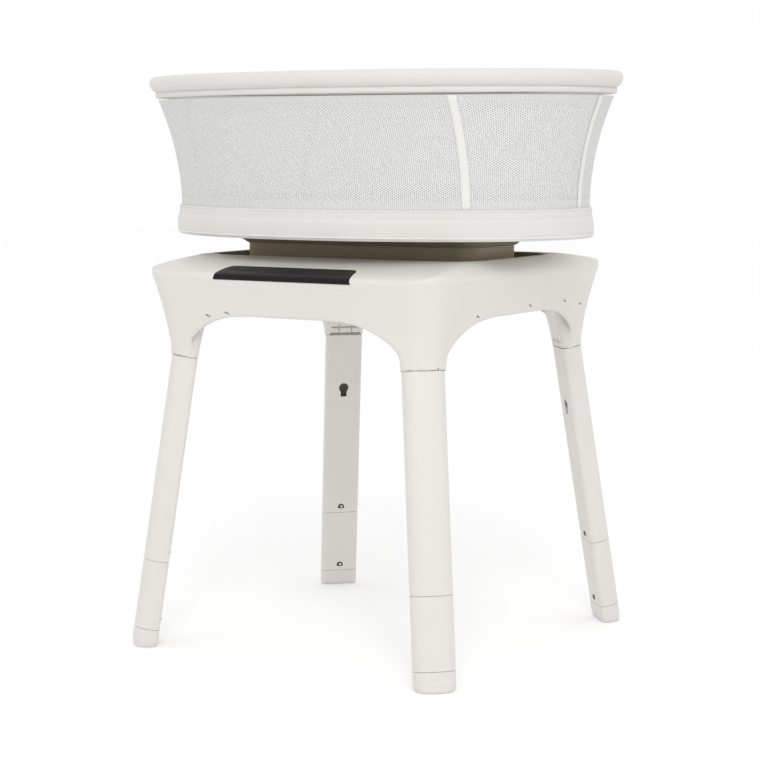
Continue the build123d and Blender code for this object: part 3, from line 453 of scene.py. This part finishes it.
def platform(x, y, z):
    """Distance to the whole platform."""
    skin = platform_skin(x, y, z)
    shell = np.maximum(skin, -skin - SHELL_WALL)
    across, out, rise = leg_place(x, y, z)
    section = leg_section(across, out)
    climb = np.clip((z - COLLAR_Z) / ARCH_FALL, 0, 1)
    flare = ARCH_REACH * (1 - np.sqrt(1 - climb**2))
    shell = round_max(shell, round_min(section - flare, APRON_Z - z, 8.0), 5.0)
    swell = SWELL_START + SWELL_MORE * (np.clip(rise, 0, SWELL_LAST) / SWELL_RISE) ** 2
    collar = round_max(section - swell, rise - COLLAR_RISE, 6.0)
    whole = round_min(shell, collar, 8.0)
    whole = np.maximum(whole, skin)
    boss = np.hypot(np.abs(x) - BOSS_X, np.abs(y) - BOSS_Y) - BOSS_RADIUS
    whole = np.minimum(whole, np.maximum(np.maximum(boss, BOSS_LOW - z), skin + 2))
    whole = np.maximum(whole, -rise)
    whole = np.maximum(whole, -np.maximum(section + COLLAR_WALL, rise - SOCKET_RISE))
    whole = round_max(whole, -rounded_rect(x, y, OPEN_X, OPEN_Y, 60), 2.0)
    inlet = np.where(y > 0, np.hypot(x - INLET[0], z - INLET[1]) - INLET[2], 99.0)
    return np.maximum(whole, -inlet)


# %% [markdown]
# A distance field becomes a mesh by laying a grid over it. Each grid cell that the surface crosses
# gets one point, the mean of the crossings on its edges, and each crossed edge gets one face between
# the four cells round it. Then every point is stepped onto the exact surface, which irons out the grid.

# %% From distances to a mesh
def net(value, start, step):
    """Points and faces of the zero surface of a grid of distances."""
    size = np.array(value.shape) - 1
    total = np.zeros((*size, 3))
    count = np.zeros(size)
    for axis in range(3):
        first, second = (axis + 1) % 3, (axis + 2) % 3
        for i in (0, 1):
            for j in (0, 1):
                offset = np.zeros(3, int)
                offset[first], offset[second] = i, j
                here = value[tuple(slice(o, o + s) for o, s in zip(offset, size))]
                offset[axis] = 1
                there = value[tuple(slice(o, o + s) for o, s in zip(offset, size))]
                crossed = (here < 0) != (there < 0)
                total[..., axis] += np.where(crossed, here / np.where(crossed, here - there, 1), 0)
                total[..., first] += crossed * i
                total[..., second] += crossed * j
                count += crossed
    active = count > 0
    index = np.full(size, -1)
    index[active] = np.arange(active.sum())
    cells = np.argwhere(active)
    points = (cells + total[active] / count[active][:, None]) * step + start
    inside = value < 0
    faces = []
    for axis in range(3):
        first, second = (axis + 1) % 3, (axis + 2) % 3
        here = np.moveaxis(inside, (axis, first, second), (0, 1, 2))
        number = np.moveaxis(index, (axis, first, second), (0, 1, 2))
        inner = (slice(None), slice(1, -1), slice(1, -1))
        change = here[:-1][inner].astype(int) - here[1:][inner].astype(int)
        for sign in (1, -1):
            a, b, c = np.nonzero(change == sign)
            quad = [number[a, b, c], number[a, b + 1, c], number[a, b + 1, c + 1], number[a, b, c + 1]]
            faces.append(np.stack(quad if sign == 1 else quad[::-1], axis=1))
    return points, np.concatenate(faces)


def slope(distance, points, reach=0.5):
    """Gradient of a distance at some points."""
    parts = []
    for axis in range(3):
        move = np.zeros(3)
        move[axis] = reach
        parts.append((distance(*(points + move).T) - distance(*(points - move).T)) / (2 * reach))
    return np.stack(parts, axis=1)


def settle(distance, points, level=0.0, rounds=3, most=1.5):
    """Step points onto one level of a distance."""
    for _ in range(rounds):
        gradient = slope(distance, points)
        size = np.maximum((gradient**2).sum(axis=1), 0.05)
        move = -gradient * ((distance(*points.T) - level) / size)[:, None]
        length = np.maximum(np.linalg.norm(move, axis=1), 1e-9)[:, None]
        points = points + move * np.minimum(1, most / length)
    return points


# %% Build the platform
GRID = 2.75
reach = EDGE_HALF + 3 * GRID
axis_xy = np.arange(-reach, reach + GRID, GRID)
axis_z = np.arange(COLLAR_Z - 14, LIP + 3 * GRID, GRID)
field = platform(*np.meshgrid(axis_xy, axis_xy, axis_z, indexing="ij"))
points, faces = net(field, np.array([axis_xy[0], axis_xy[0], axis_z[0]]), GRID)
points = settle(platform, points)
hub = piece("platform_shell", points, faces, "shell_white", "stand", ["hub_shell"])
print("platform faces", len(faces))

# %% [markdown]
# Some details are finer than the grid, so they are cut afterwards with one boolean: two slits beside
# the clip in each collar's flat inner face, and a few short sloping slots low on the apron.

# %% Cut the slits and slots
SLIT_APART, SLIT_HALVES = 11.5, (0.75, 6.0, 9.5)
SLOT_HALVES, SLOT_ALONG, SLOT_FALL = (4.6, 3.2, 1.3), 0.94, 0.34
# Six places low on the apron, and whether each lies on a front face. They were worked out once by
# another script and rounded, so they follow no rule and don't move when the sizes change.
APRON_SLOTS = (
    ((-150.0, -260.0, 535.5), True), ((-112.0, -261.5, 541.0), True), ((261.5, -129.0, 541.5), False),
    ((263.0, 30.0, 547.5), False), ((263.0, 144.0, 547.0), False), ((261.0, 200.0, 538.5), False),
)


def cutter_block(centre, axes, halves):
    """Eight corners and six faces of a turned block."""
    signs = [(i, j, k) for k in (-1, 1) for j in (-1, 1) for i in (-1, 1)]
    corners = [centre + sum(s * h * a for s, h, a in zip(sign, halves, axes)) for sign in signs]
    sides = [(0, 2, 3, 1), (4, 5, 7, 6), (0, 1, 5, 4), (2, 6, 7, 3), (0, 4, 6, 2), (1, 3, 7, 5)]
    return corners, sides


def cut_details(target):
    """Cut every small detail out of the platform."""
    blocks = []
    for sign_x in (-1, 1):
        for sign_y in (-1, 1):
            out = np.array([sign_x, sign_y, 0]) / math.sqrt(2)
            up = np.array([-sign_x * LEAN, -sign_y * LEAN, 1]) / STRETCH
            across = np.cross(up, out)
            middle = np.array([sign_x * LEG_TOP, sign_y * LEG_TOP, COLLAR_Z])
            for offset in (-SLIT_APART, SLIT_APART):
                spot = middle + across * offset + up * 7.5 - out * 19.0
                blocks.append(cutter_block(spot, (across, out, up), SLIT_HALVES))
    for at, on_front in APRON_SLOTS:
        along = np.array([1.0, 0, 0]) if on_front else np.array([0, 1.0, 0])
        inwards = np.cross(along, [0, 0, 1.0])
        lean = along * SLOT_ALONG - np.array([0, 0, SLOT_FALL])
        blocks.append(cutter_block(np.array(at), (lean, inwards, np.cross(lean, inwards)), SLOT_HALVES))
    points, faces = [], []
    for corners, sides in blocks:
        faces += [tuple(v + len(points) for v in side) for side in sides]
        points += corners
    mesh = bpy.data.meshes.new("cutter")
    mesh.from_pydata((np.array(points) * MM).tolist(), [], faces)
    cutter = bpy.data.objects.new("cutter", mesh)
    bpy.context.scene.collection.objects.link(cutter)
    face_outwards(cutter)
    cut = target.modifiers.new("details", "BOOLEAN")
    cut.operation, cut.solver, cut.object = "DIFFERENCE", "EXACT", cutter
    apply_first(target)
    bpy.data.objects.remove(cutter)
    print("details cut", len(blocks), "faces", len(target.data.polygons))


cut_details(hub)

# %% [markdown]
# ## The glass control panel
#
# A sheet of black glass wraps over the front edge. Its points start as a plain grid and are settled
# onto the platform's own surface, a little above it, so it bends as the platform does.

# %% Build the control panel
def panel_rows():
    """Rows of the panel from its back edge, over the platform's edge, down to its front lip."""
    depth, lip, rows = 38.0, 4.4, []
    for share in np.linspace(0, 1, 22):
        y = -EDGE_HALF + depth * (1 - share)
        rows.append((y, float(crown_height(0.0, y)), depth * share))
    for drop in np.linspace(1.2, lip, 4):
        rows.append((-EDGE_HALF, EDGE_Z - drop, depth + drop))
    return rows


def build_panel():
    half_back, half_front, corner, columns = 117.0, 127.5, 9.0, 60
    rows = panel_rows()
    length = rows[-1][2]
    flat = []
    for y, z, along in rows:
        half = half_back + (half_front - half_back) * along / length
        if along < corner:
            half -= corner - math.sqrt(corner**2 - (corner - along) ** 2)
        flat += [(x, y, z) for x in np.linspace(-half, half, columns)]
    flat = np.array(flat)
    top = settle(platform_skin, flat, 0.9, 6, 4.0)
    under = settle(platform_skin, flat, -0.6, 6, 4.0)
    count, width = len(rows), columns
    grid = np.arange(count * width).reshape(count, width)
    quads = np.stack([grid[:-1, :-1], grid[1:, :-1], grid[1:, 1:], grid[:-1, 1:]], -1).reshape(-1, 4)
    loop = list(grid[0]) + list(grid[1:, -1]) + list(grid[-1, -2::-1]) + list(grid[-2:0:-1, 0])
    shift = count * width
    sides = [(a, b, b + shift, a + shift) for a, b in zip(loop, loop[1:] + loop[:1])]
    made = piece("control_panel", np.vstack([top, under]),
                 list(quads) + list(quads[:, ::-1] + shift) + sides,
                 "black_gloss", "stand", ["control_glass"])
    face_outwards(made)
    edge = made.modifiers.new("edge", "BEVEL")
    edge.width, edge.segments, edge.limit_method, edge.angle_limit = 0.0003, 2, "ANGLE", 0.9


build_panel()
print("panel rows", len(panel_rows()))

# %% [markdown]
# ## Light domes on the snap buttons
#
# Each half-moon snap shows as a dark hole with a small light dome at its middle. There is no real hole:
# the button's own node keeps its flush shape and is painted near black, as painted shade standing for the
# dark inside of a hole, and a dome rides on the same body.

# %% Snap domes
def snap_dome(node):
    """Small light dome on a button's face."""
    middle = (low(node) + high(node)) / 2
    out = np.array([np.sign(middle[0]), np.sign(middle[1]), 0]) / math.sqrt(2)
    inner = low(node) * (middle > 0) + high(node) * (middle < 0)
    face = np.array([inner[0], inner[1], middle[2]])
    up = np.array([0, 0, 1.0])
    across = np.cross(up, out)
    centre = middle + out * (np.dot(face - middle, out) + 1.9) - up * 0.7
    points = [centre - out * 1.7]
    for lift in (0.5, 1.0):
        radius, depth = 2.1 * math.sin(lift * math.pi / 2), 1.7 * math.cos(lift * math.pi / 2)
        points += [centre - out * depth + radius * (across * math.cos(t) + up * math.sin(t))
                   for t in np.arange(16) * TURN / 16]
    points.append(centre + out * 1.0)
    faces = [(0, 1 + k, 1 + (k + 1) % 16) for k in range(16)]
    faces += [(1 + k, 17 + k, 17 + (k + 1) % 16, 1 + (k + 1) % 16) for k in range(16)]
    faces += [(33, 17 + (k + 1) % 16, 17 + k) for k in range(16)]
    made = piece(node + "_dome", points, faces, "button_white", node + "_body", material=DOME)
    face_outwards(made)


DOME = plastic("snap_dome", (0.72, 0.7, 0.66), 0.35)
BUTTONS = [kind + "_" + corner for kind in ("leg_button", "foot_button")
           for corner in ("front_left", "front_right", "back_right", "back_left")]
for button in BUTTONS:
    snap_dome(button)
print("snap domes", len(BUTTONS))

# %% [markdown]
# ## Rings of cloth
#
# The rim, its binding, the band under the mesh, the skirt and its piping all run round the same oval.
# One function sweeps a closed profile round it. Sewn cloth is never even, so each point moves a little,
# by slow waves with fixed phases.

# %% Sweep a profile round the oval
ROUND = 288
rng = np.random.default_rng(72)
WAVES = [(int(n), p) for n, p in zip(rng.integers(7, 46, 9), rng.uniform(0, TURN, 9))]


def unevenness(angle, phase):
    """Slow waves along the oval, mostly between -1 and 1."""
    return sum(np.sin(count * angle + start + phase) for count, start in WAVES) / 3.2


def oval_length(inset):
    """Length round the oval, in metres."""
    angle = np.linspace(0, TURN, 721)
    steps = np.hypot(np.diff((RIM_A - inset) * np.cos(angle)), np.diff((RIM_B - inset) * np.sin(angle)))
    return steps.sum() * MM


def ring(name, profile, slot, replaces, uneven=0.0):
    """Sweep a closed profile of (inset, height) points round the oval."""
    profile = np.array(profile, float)
    around = len(profile)
    angles = np.arange(ROUND) * TURN / ROUND
    points = []
    for angle in angles:
        swell = uneven * unevenness(angle, 0.9 * np.sin(np.arange(around) * TURN / around))
        inset = profile[:, 0] - swell
        x = (RIM_A - inset) * math.cos(angle)
        y = (RIM_B - inset) * math.sin(angle)
        points.append(np.stack([x, y, profile[:, 1]], axis=1))
    points = np.concatenate(points)
    seam = np.linalg.norm(np.diff(np.vstack([profile, profile[:1]]), axis=0), axis=1)
    down = np.concatenate([[0], np.cumsum(seam)]) * MM
    length = oval_length(profile[:, 0].mean())
    faces, cloth = [], []
    for i in range(ROUND):
        for j in range(around):
            k, m = (i + 1) % ROUND, (j + 1) % around
            faces.append((i * around + j, k * around + j, k * around + m, i * around + m))
            left, right = i * length / ROUND, (i + 1) * length / ROUND
            cloth += [(left, down[j]), (right, down[j]), (right, down[j + 1]), (left, down[j + 1])]
    made = piece(name, points, faces, slot, "basket", replaces, cloth)
    face_outwards(made)
    return made


def pillow(middle, centre, half_width, half_height, power, count=30):
    """Closed rounded profile, squarer as power grows."""
    turn = np.arange(count) * TURN / count
    side = np.sign(np.cos(turn)) * np.abs(np.cos(turn)) ** (2 / power)
    rise = np.sign(np.sin(turn)) * np.abs(np.sin(turn)) ** (2 / power)
    return [(middle - half_width * s, centre + half_height * r) for s, r in zip(side, rise)]


# %% Rim, bands, skirt and piping
ROLL_LOW = RIM_LOW + 4.0
roll = pillow(13.3, (ROLL_LOW + RIM_HIGH) / 2, 13.2, (RIM_HIGH - ROLL_LOW) / 2, 2.6, 36)
roll = [(i + 5.5 * ((RIM_HIGH - z) / (RIM_HIGH - ROLL_LOW)) ** 2 * (i < 14), z) for i, z in roll]
rim = ring("rim_roll", roll, "white_fabric", ["rim_cover"], 0.35)
ring("rim_binding_cloth", pillow(13.4, RIM_LOW + 0.6, 3.0, 5.0, 2.6, 16),
     "white_fabric", ["rim_binding"], 0.12)
skirt_middle = (SKIRT_LOW + SKIRT_HIGH) / 2
skirt = ring("skirt_pad", pillow(SKIRT_INSET + 4.9, skirt_middle, 4.7, (SKIRT_HIGH - SKIRT_LOW) / 2, 2.7),
             "white_fabric", ["skirt_band"], 0.5)
ring("mesh_foot_band", pillow(MESH_BOTTOM_INSET - 0.6, MESH_LOW - 7.4, 3.0, 9.0, 4.0, 16),
     "white_fabric", ["lower_binding"], 0.12)
ring("skirt_piping_cord", pillow(SKIRT_INSET + 0.7, SKIRT_LOW + 5.0, 1.4, 1.4, 2.0, 10),
     "tape_fabric", ["skirt_piping"])
print("rings round the oval", round(oval_length(0), 3), "m")

# %% [markdown]
# ## The mesh sides
#
# Four panels of knitted mesh lean outwards as they rise, slowly at first and then faster. Each is one
# sheet, stretched between the rim and the skirt. Flat tapes cover the four seams.

# %% Mesh panels and tapes
SLANT = math.hypot(MESH_HIGH - MESH_LOW, MESH_BOTTOM_INSET - MESH_TOP_INSET) * MM
# How much higher than its mean height a panel's flat cloth is declared. A guess.
FINISHES["mesh_fabric"] = knitted_mesh("knitted_mesh", (0.71, 0.71, 0.705), 0.0031, SLANT)


def side_point(angle, up, out=0.0):
    """Point of the mesh wall: its direction in radians, how far up, and how far outside the cloth."""
    inset = MESH_BOTTOM_INSET + (MESH_TOP_INSET - MESH_BOTTOM_INSET) * up**2 - out
    half_a, half_b = RIM_A - inset, RIM_B - inset
    reach = half_a * half_b / math.hypot(half_b * math.cos(angle), half_a * math.sin(angle))
    return reach * math.cos(angle), reach * math.sin(angle), MESH_LOW + (MESH_HIGH - MESH_LOW) * up


def seam_turn(seam, up):
    """Direction of a seam: a seam between two sides lies in an upright plane across the basket."""
    if seam % 180 == 0:
        return math.radians(seam)
    inset = MESH_BOTTOM_INSET + (MESH_TOP_INSET - MESH_BOTTOM_INSET) * up**2
    share = SEAM_X / (RIM_A - inset)
    turn = math.atan2((RIM_B - inset) * math.sqrt(1 - share**2), SEAM_X)
    return math.pi - turn if seam < 180 else TURN - turn


def sheet_grid(start, end, wide, rises, out, slant):
    """Points, faces and cloth map of a patch of the wall, between two directions given by functions."""
    shares = np.linspace(0, 1, wide)
    points = [side_point(start(u) + (end(u) - start(u)) * s, u, out) for u in rises for s in shares]
    middle = np.array([side_point(start(0.5) + (end(0.5) - start(0.5)) * s, 0.5, out) for s in shares])
    along = np.concatenate([[0], np.cumsum(np.linalg.norm(np.diff(middle, axis=0), axis=1))]) * MM
    faces, cloth = [], []
    for i in range(len(rises) - 1):
        for j in range(wide - 1):
            here = i * wide + j
            faces.append((here, here + 1, here + wide + 1, here + wide))
            low_v, high_v = rises[i] * slant, rises[i + 1] * slant
            cloth += [(along[j], low_v), (along[j + 1], low_v), (along[j + 1], high_v), (along[j], high_v)]
    return points, faces, cloth


def mesh_side(name, start, end):
    """One panel of mesh. Its declared area is its own, so that can't show a wrong cut."""
    wide = max(12, int((end - start) / 1.6))
    first, last = (lambda up: seam_turn(start, up)), (lambda up: seam_turn(end, up))
    points, faces, cloth = sheet_grid(first, last, wide, np.linspace(0, 1, 22), 0.0, SLANT)
    made = piece("side_" + name, points, faces, "mesh_fabric", "basket", ["mesh_" + name], cloth)


ends = SEAMS + (360.0,)
for name, start, end in zip(("back_long", "back_short", "front_long", "front_short"), ends, ends[1:]):
    mesh_side(name, start, end)


def seam_tape_piece():
    """Four flat tapes over the seams, as one group."""
    points, faces, cloth = [], [], []
    for seam in SEAMS:
        half = TAPE_WIDTH / 2 / math.hypot(*side_point(seam_turn(seam, 0.5), 0.5)[:2])
        left, right = (lambda up: seam_turn(seam, up) - half), (lambda up: seam_turn(seam, up) + half)
        patch = sheet_grid(left, right, 7, np.linspace(0, 1, 22), 0.5, SLANT)
        faces += [tuple(v + len(points) for v in face) for face in patch[1]]
        points += patch[0]
        cloth += patch[2]
    made = piece("seam_tape", points, faces, "tape_fabric", "basket", ["seam_tapes"], cloth)
    wall = made.modifiers.new("thickness", "SOLIDIFY")
    wall.thickness, wall.offset = 0.0008, 1.0


seam_tape_piece()

# %% [markdown]
# ## Stitches
#
# A row of stitches is one small thread, repeated along a line. Geometry Nodes does this: the line is
# resampled at the stitch's pitch, a thread is set on each point, turned along the line, and the copies
# are made real. The same tree sews the rim's binding and the band under the mesh.

# %% Stitch tree
def stitch_tree():
    tree = bpy.data.node_groups.new("stitch_row", "GeometryNodeTree")
    sides = {}
    for label, kind in (("Geometry", "Geometry"), ("Pitch", "Float"), ("Length", "Float"),
                        ("Radius", "Float"), ("Thread", "Material")):
        sides[label] = tree.interface.new_socket(label, in_out="INPUT", socket_type="NodeSocket" + kind)
    tree.interface.new_socket("Geometry", in_out="OUTPUT", socket_type="NodeSocketGeometry")
    add, join = tree.nodes.new, tree.links.new
    given, result = add("NodeGroupInput"), add("NodeGroupOutput")
    line, spaced = add("GeometryNodeMeshToCurve"), add("GeometryNodeResampleCurve")
    spaced.mode = "LENGTH"
    thread = add("GeometryNodeMeshUVSphere")
    thread.inputs["Segments"].default_value = 6
    thread.inputs["Rings"].default_value = 4
    thread.inputs["Radius"].default_value = 1.0
    tangent, turn = add("GeometryNodeInputTangent"), add("FunctionNodeAlignRotationToVector")
    turn.axis = "Z"
    size, copies = add("ShaderNodeCombineXYZ"), add("GeometryNodeInstanceOnPoints")
    real, dress = add("GeometryNodeRealizeInstances"), add("GeometryNodeSetMaterial")
    join(given.outputs["Geometry"], line.inputs[0])
    join(line.outputs[0], spaced.inputs["Curve"])
    join(given.outputs["Pitch"], spaced.inputs["Length"])
    join(tangent.outputs[0], turn.inputs["Vector"])
    for axis in "XY":
        join(given.outputs["Radius"], size.inputs[axis])
    join(given.outputs["Length"], size.inputs["Z"])
    join(spaced.outputs[0], copies.inputs["Points"])
    join(thread.outputs["Mesh"], copies.inputs["Instance"])
    join(turn.outputs[0], copies.inputs["Rotation"])
    join(size.outputs[0], copies.inputs["Scale"])
    join(copies.outputs[0], real.inputs[0])
    join(real.outputs[0], dress.inputs["Geometry"])
    join(given.outputs["Thread"], dress.inputs["Material"])
    join(dress.outputs[0], result.inputs[0])
    return tree, {label: socket.identifier for label, socket in sides.items()}


STITCHES, INPUTS = stitch_tree()


def sew(name, inset, height, pitch=0.0042, material=THREAD):
    """Sew a row of stitches round the oval."""
    angles = np.arange(ROUND) * TURN / ROUND
    points = [((RIM_A - inset) * math.cos(a) * MM, (RIM_B - inset) * math.sin(a) * MM, height * MM)
              for a in angles]
    path = bpy.data.meshes.new(name + "_line")
    path.from_pydata(points, [(i, (i + 1) % ROUND) for i in range(ROUND)], [])
    holder = bpy.data.objects.new(name + "_line", path)
    bpy.context.scene.collection.objects.link(holder)
    rows = holder.modifiers.new("stitches", "NODES")
    rows.node_group = STITCHES
    for label, value in (("Pitch", pitch), ("Length", pitch * 0.36), ("Radius", 0.00035),
                         ("Thread", material)):
        rows[INPUTS[label]] = value
    holder.update_tag()
    graph = bpy.context.evaluated_depsgraph_get()
    mesh = bpy.data.meshes.new_from_object(holder.evaluated_get(graph))
    bpy.data.objects.remove(holder)
    made = bpy.data.objects.new(name, mesh)
    bpy.context.scene.collection.objects.link(made)
    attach(made, "basket")
    print(name, "faces", len(mesh.polygons))


sew("binding_stitches", 10.9, RIM_LOW - 2.2)
sew("band_stitches", MESH_BOTTOM_INSET - 3.6, MESH_LOW - 1.6)

# %% [markdown]
# ## The mattress
#
# A mattress is foam in a tight cover, so its top crowns and its edge rounds over. It starts a little
# too small, cloth simulation blows it up, and each point's move is capped so that it stays in the
# basket. Left free it swells far past the cap, which holds nearly every point, so the simulation gives
# little but the direction of each move. Its cloth map is laid on afterwards, once the remesh is done.

# %% Mattress
SWELL_CAP = 0.005


def oval_pad(name, inset, bottom, top, soft):
    """Closed oval pad with a softened edge."""
    rows = [(bottom, inset + soft), (bottom + soft, inset), (top - soft, inset), (top, inset + soft)]
    count = 96
    points = [((RIM_A - i) * math.cos(t), (RIM_B - i) * math.sin(t), z)
              for z, i in rows for t in np.arange(count) * TURN / count]
    faces = [(r * count + k, r * count + (k + 1) % count, (r + 1) * count + (k + 1) % count,
              (r + 1) * count + k) for r in range(3) for k in range(count)]
    faces += [tuple(range(count))[::-1], tuple(range(3 * count, 4 * count))]
    made = piece(name, points, faces, "mattress_fabric", "mattress_body", ["mattress"])
    face_outwards(made)
    return made


def spots(made):
    """A piece's points, as an array in metres."""
    values = np.empty(len(made.data.vertices) * 3, np.float32)
    made.data.vertices.foreach_get("co", values)
    return values.reshape(-1, 3).astype(float)


def build_mattress():
    bottom, top = low("mattress")[2], high("mattress")[2]
    pad = oval_pad("mattress_pad", RIM_A - high("mattress")[0] + 4, bottom + 2.5, top - 3, 7.0)
    pad.modifiers.new("even", "REMESH").voxel_size = 0.006
    apply_first(pad)
    before = spots(pad)
    cloth = pad.modifiers.new("cloth", "CLOTH")
    cloth.settings.use_pressure = True
    cloth.settings.uniform_pressure_force = 4.0
    cloth.settings.effector_weights.gravity = 0.0
    for number in range(1, 21):
        bpy.context.scene.frame_set(number)
    apply_first(pad)
    bpy.context.scene.frame_set(1)
    after = spots(pad)
    move = after - before
    size = np.maximum(np.linalg.norm(move, axis=1), 1e-9)[:, None]
    after = before + move * np.minimum(1, SWELL_CAP / size)
    after[:, 2] = np.maximum(after[:, 2], (bottom + 0.1) * MM)
    pad.data.vertices.foreach_set("co", after.astype(np.float32).ravel())
    layer = pad.data.uv_layers.new(name="cloth")
    corner = np.empty(len(pad.data.loops), np.int32)
    pad.data.loops.foreach_get("vertex_index", corner)
    layer.data.foreach_set("uv", after[corner][:, :2].ravel())
    pad.data.polygons.foreach_set("use_smooth", [True] * len(pad.data.polygons))
    finer = pad.modifiers.new("finer", "SUBSURF")
    finer.levels = finer.render_levels = 1
    print("mattress moved", round(float(size.max()) / MM, 1), "mm at most before the cap, which held",
          round(float((size > SWELL_CAP).mean()) * 100), "% of its points")


build_mattress()

# %% [markdown]
# ## The cloth under the mattress
#
# The basket's floor is one cloth, pulled flat over its board: a smooth oval with a slight wave at its
# edge, where it is sewn to the skirt.

# %% Floor cloth
def build_floor_cloth():
    rings, count = 16, 144
    half_a, half_b = high("floor_fabric")[:2]
    height = low("floor_fabric")[2] + 0.9
    points = [(0.0, 0.0, height)]
    for ring_number in range(1, rings + 1):
        share = ring_number / rings
        for turn in np.arange(count) * TURN / count:
            ripple = 0.5 * share**6 * unevenness(turn, 0.0)
            points.append((half_a * share * math.cos(turn), half_b * share * math.sin(turn), height + ripple))
    faces = [(0, 1 + k, 1 + (k + 1) % count) for k in range(count)]
    for ring_number in range(rings - 1):
        start = 1 + ring_number * count
        for k in range(count):
            n = (k + 1) % count
            faces.append((start + k, start + count + k, start + count + n, start + n))
    cloth = [(points[v][0] * MM, points[v][1] * MM) for face in faces for v in face]
    made = piece("floor_cloth", points, faces, "white_fabric", "basket", ["floor_fabric"], cloth)


build_floor_cloth()

# %% [markdown]
# ## Floor, light and camera
#
# A pale floor that glows a little, an even white sky and one large soft lamp from the right make plain
# studio light. The camera stands to the right of the front, a little below the rim, with a long lens.

# %% Studio
def build_floor():
    half = 12.0
    corners = [(-half, -half, 0), (half, -half, 0), (half, half, 0), (-half, half, 0)]
    mesh = bpy.data.meshes.new("studio_floor")
    mesh.from_pydata(corners, [], [(0, 1, 2, 3)])
    made = bpy.data.objects.new("studio_floor", mesh)
    finish = Finish("studio_floor", Roughness=0.9)
    finish.send("Base Color", finish.blend(finish.noise(0.7), (0.84, 0.84, 0.84, 1), (0.86, 0.86, 0.86, 1)))
    finish.shader.inputs["Emission Color"].default_value = (1, 1, 1, 1)
    finish.shader.inputs["Emission Strength"].default_value = 0.12
    mesh.materials.append(finish.material)
    bpy.context.scene.collection.objects.link(made)


def soft_lamp(name, place, target, size, power):
    data = bpy.data.lights.new(name, "AREA")
    data.size, data.energy = size, power
    made = bpy.data.objects.new(name, data)
    made.location = place
    made.rotation_euler = (Vector(target) - Vector(place)).to_track_quat("-Z", "Y").to_euler()
    bpy.context.scene.collection.objects.link(made)


build_floor()
world = bpy.data.worlds.new("studio")
world.use_nodes = True
world.node_tree.nodes["Background"].inputs[0].default_value = (1, 1, 1, 1)
world.node_tree.nodes["Background"].inputs[1].default_value = 1.0
bpy.context.scene.world = world
soft_lamp("key", (1.9, -2.7, 3.2), (0, 0, 0.5), 1.6, 46)
bpy.context.scene.view_settings.view_transform = "Standard"

# %% Camera
AZIMUTH, PITCH, ROLL = math.radians(33.2), math.radians(6.66), math.radians(-0.28)
LENS, STANDS_BACK, STANDS_HIGH = 99.24, 3.394, 0.8134
back = Vector((math.sin(AZIMUTH), -math.cos(AZIMUTH), 0))
right = Vector((math.cos(AZIMUTH), math.sin(AZIMUTH), 0))
ahead = -back * math.cos(PITCH) - Vector((0, 0, math.sin(PITCH)))
above = right.cross(ahead)
side = right * math.cos(ROLL) + above * math.sin(ROLL)
upright = above * math.cos(ROLL) - right * math.sin(ROLL)
camera_data = bpy.data.cameras.new("camera")
camera_data.lens = LENS
camera = bpy.data.objects.new("camera", camera_data)
spot = back * STANDS_BACK + Vector((0, 0, STANDS_HIGH))
camera.matrix_world = Matrix((
    (side.x, upright.x, -ahead.x, spot.x),
    (side.y, upright.y, -ahead.y, spot.y),
    (side.z, upright.z, -ahead.z, spot.z),
    (0, 0, 0, 1),
))
bpy.context.scene.collection.objects.link(camera)
bpy.context.scene.camera = camera
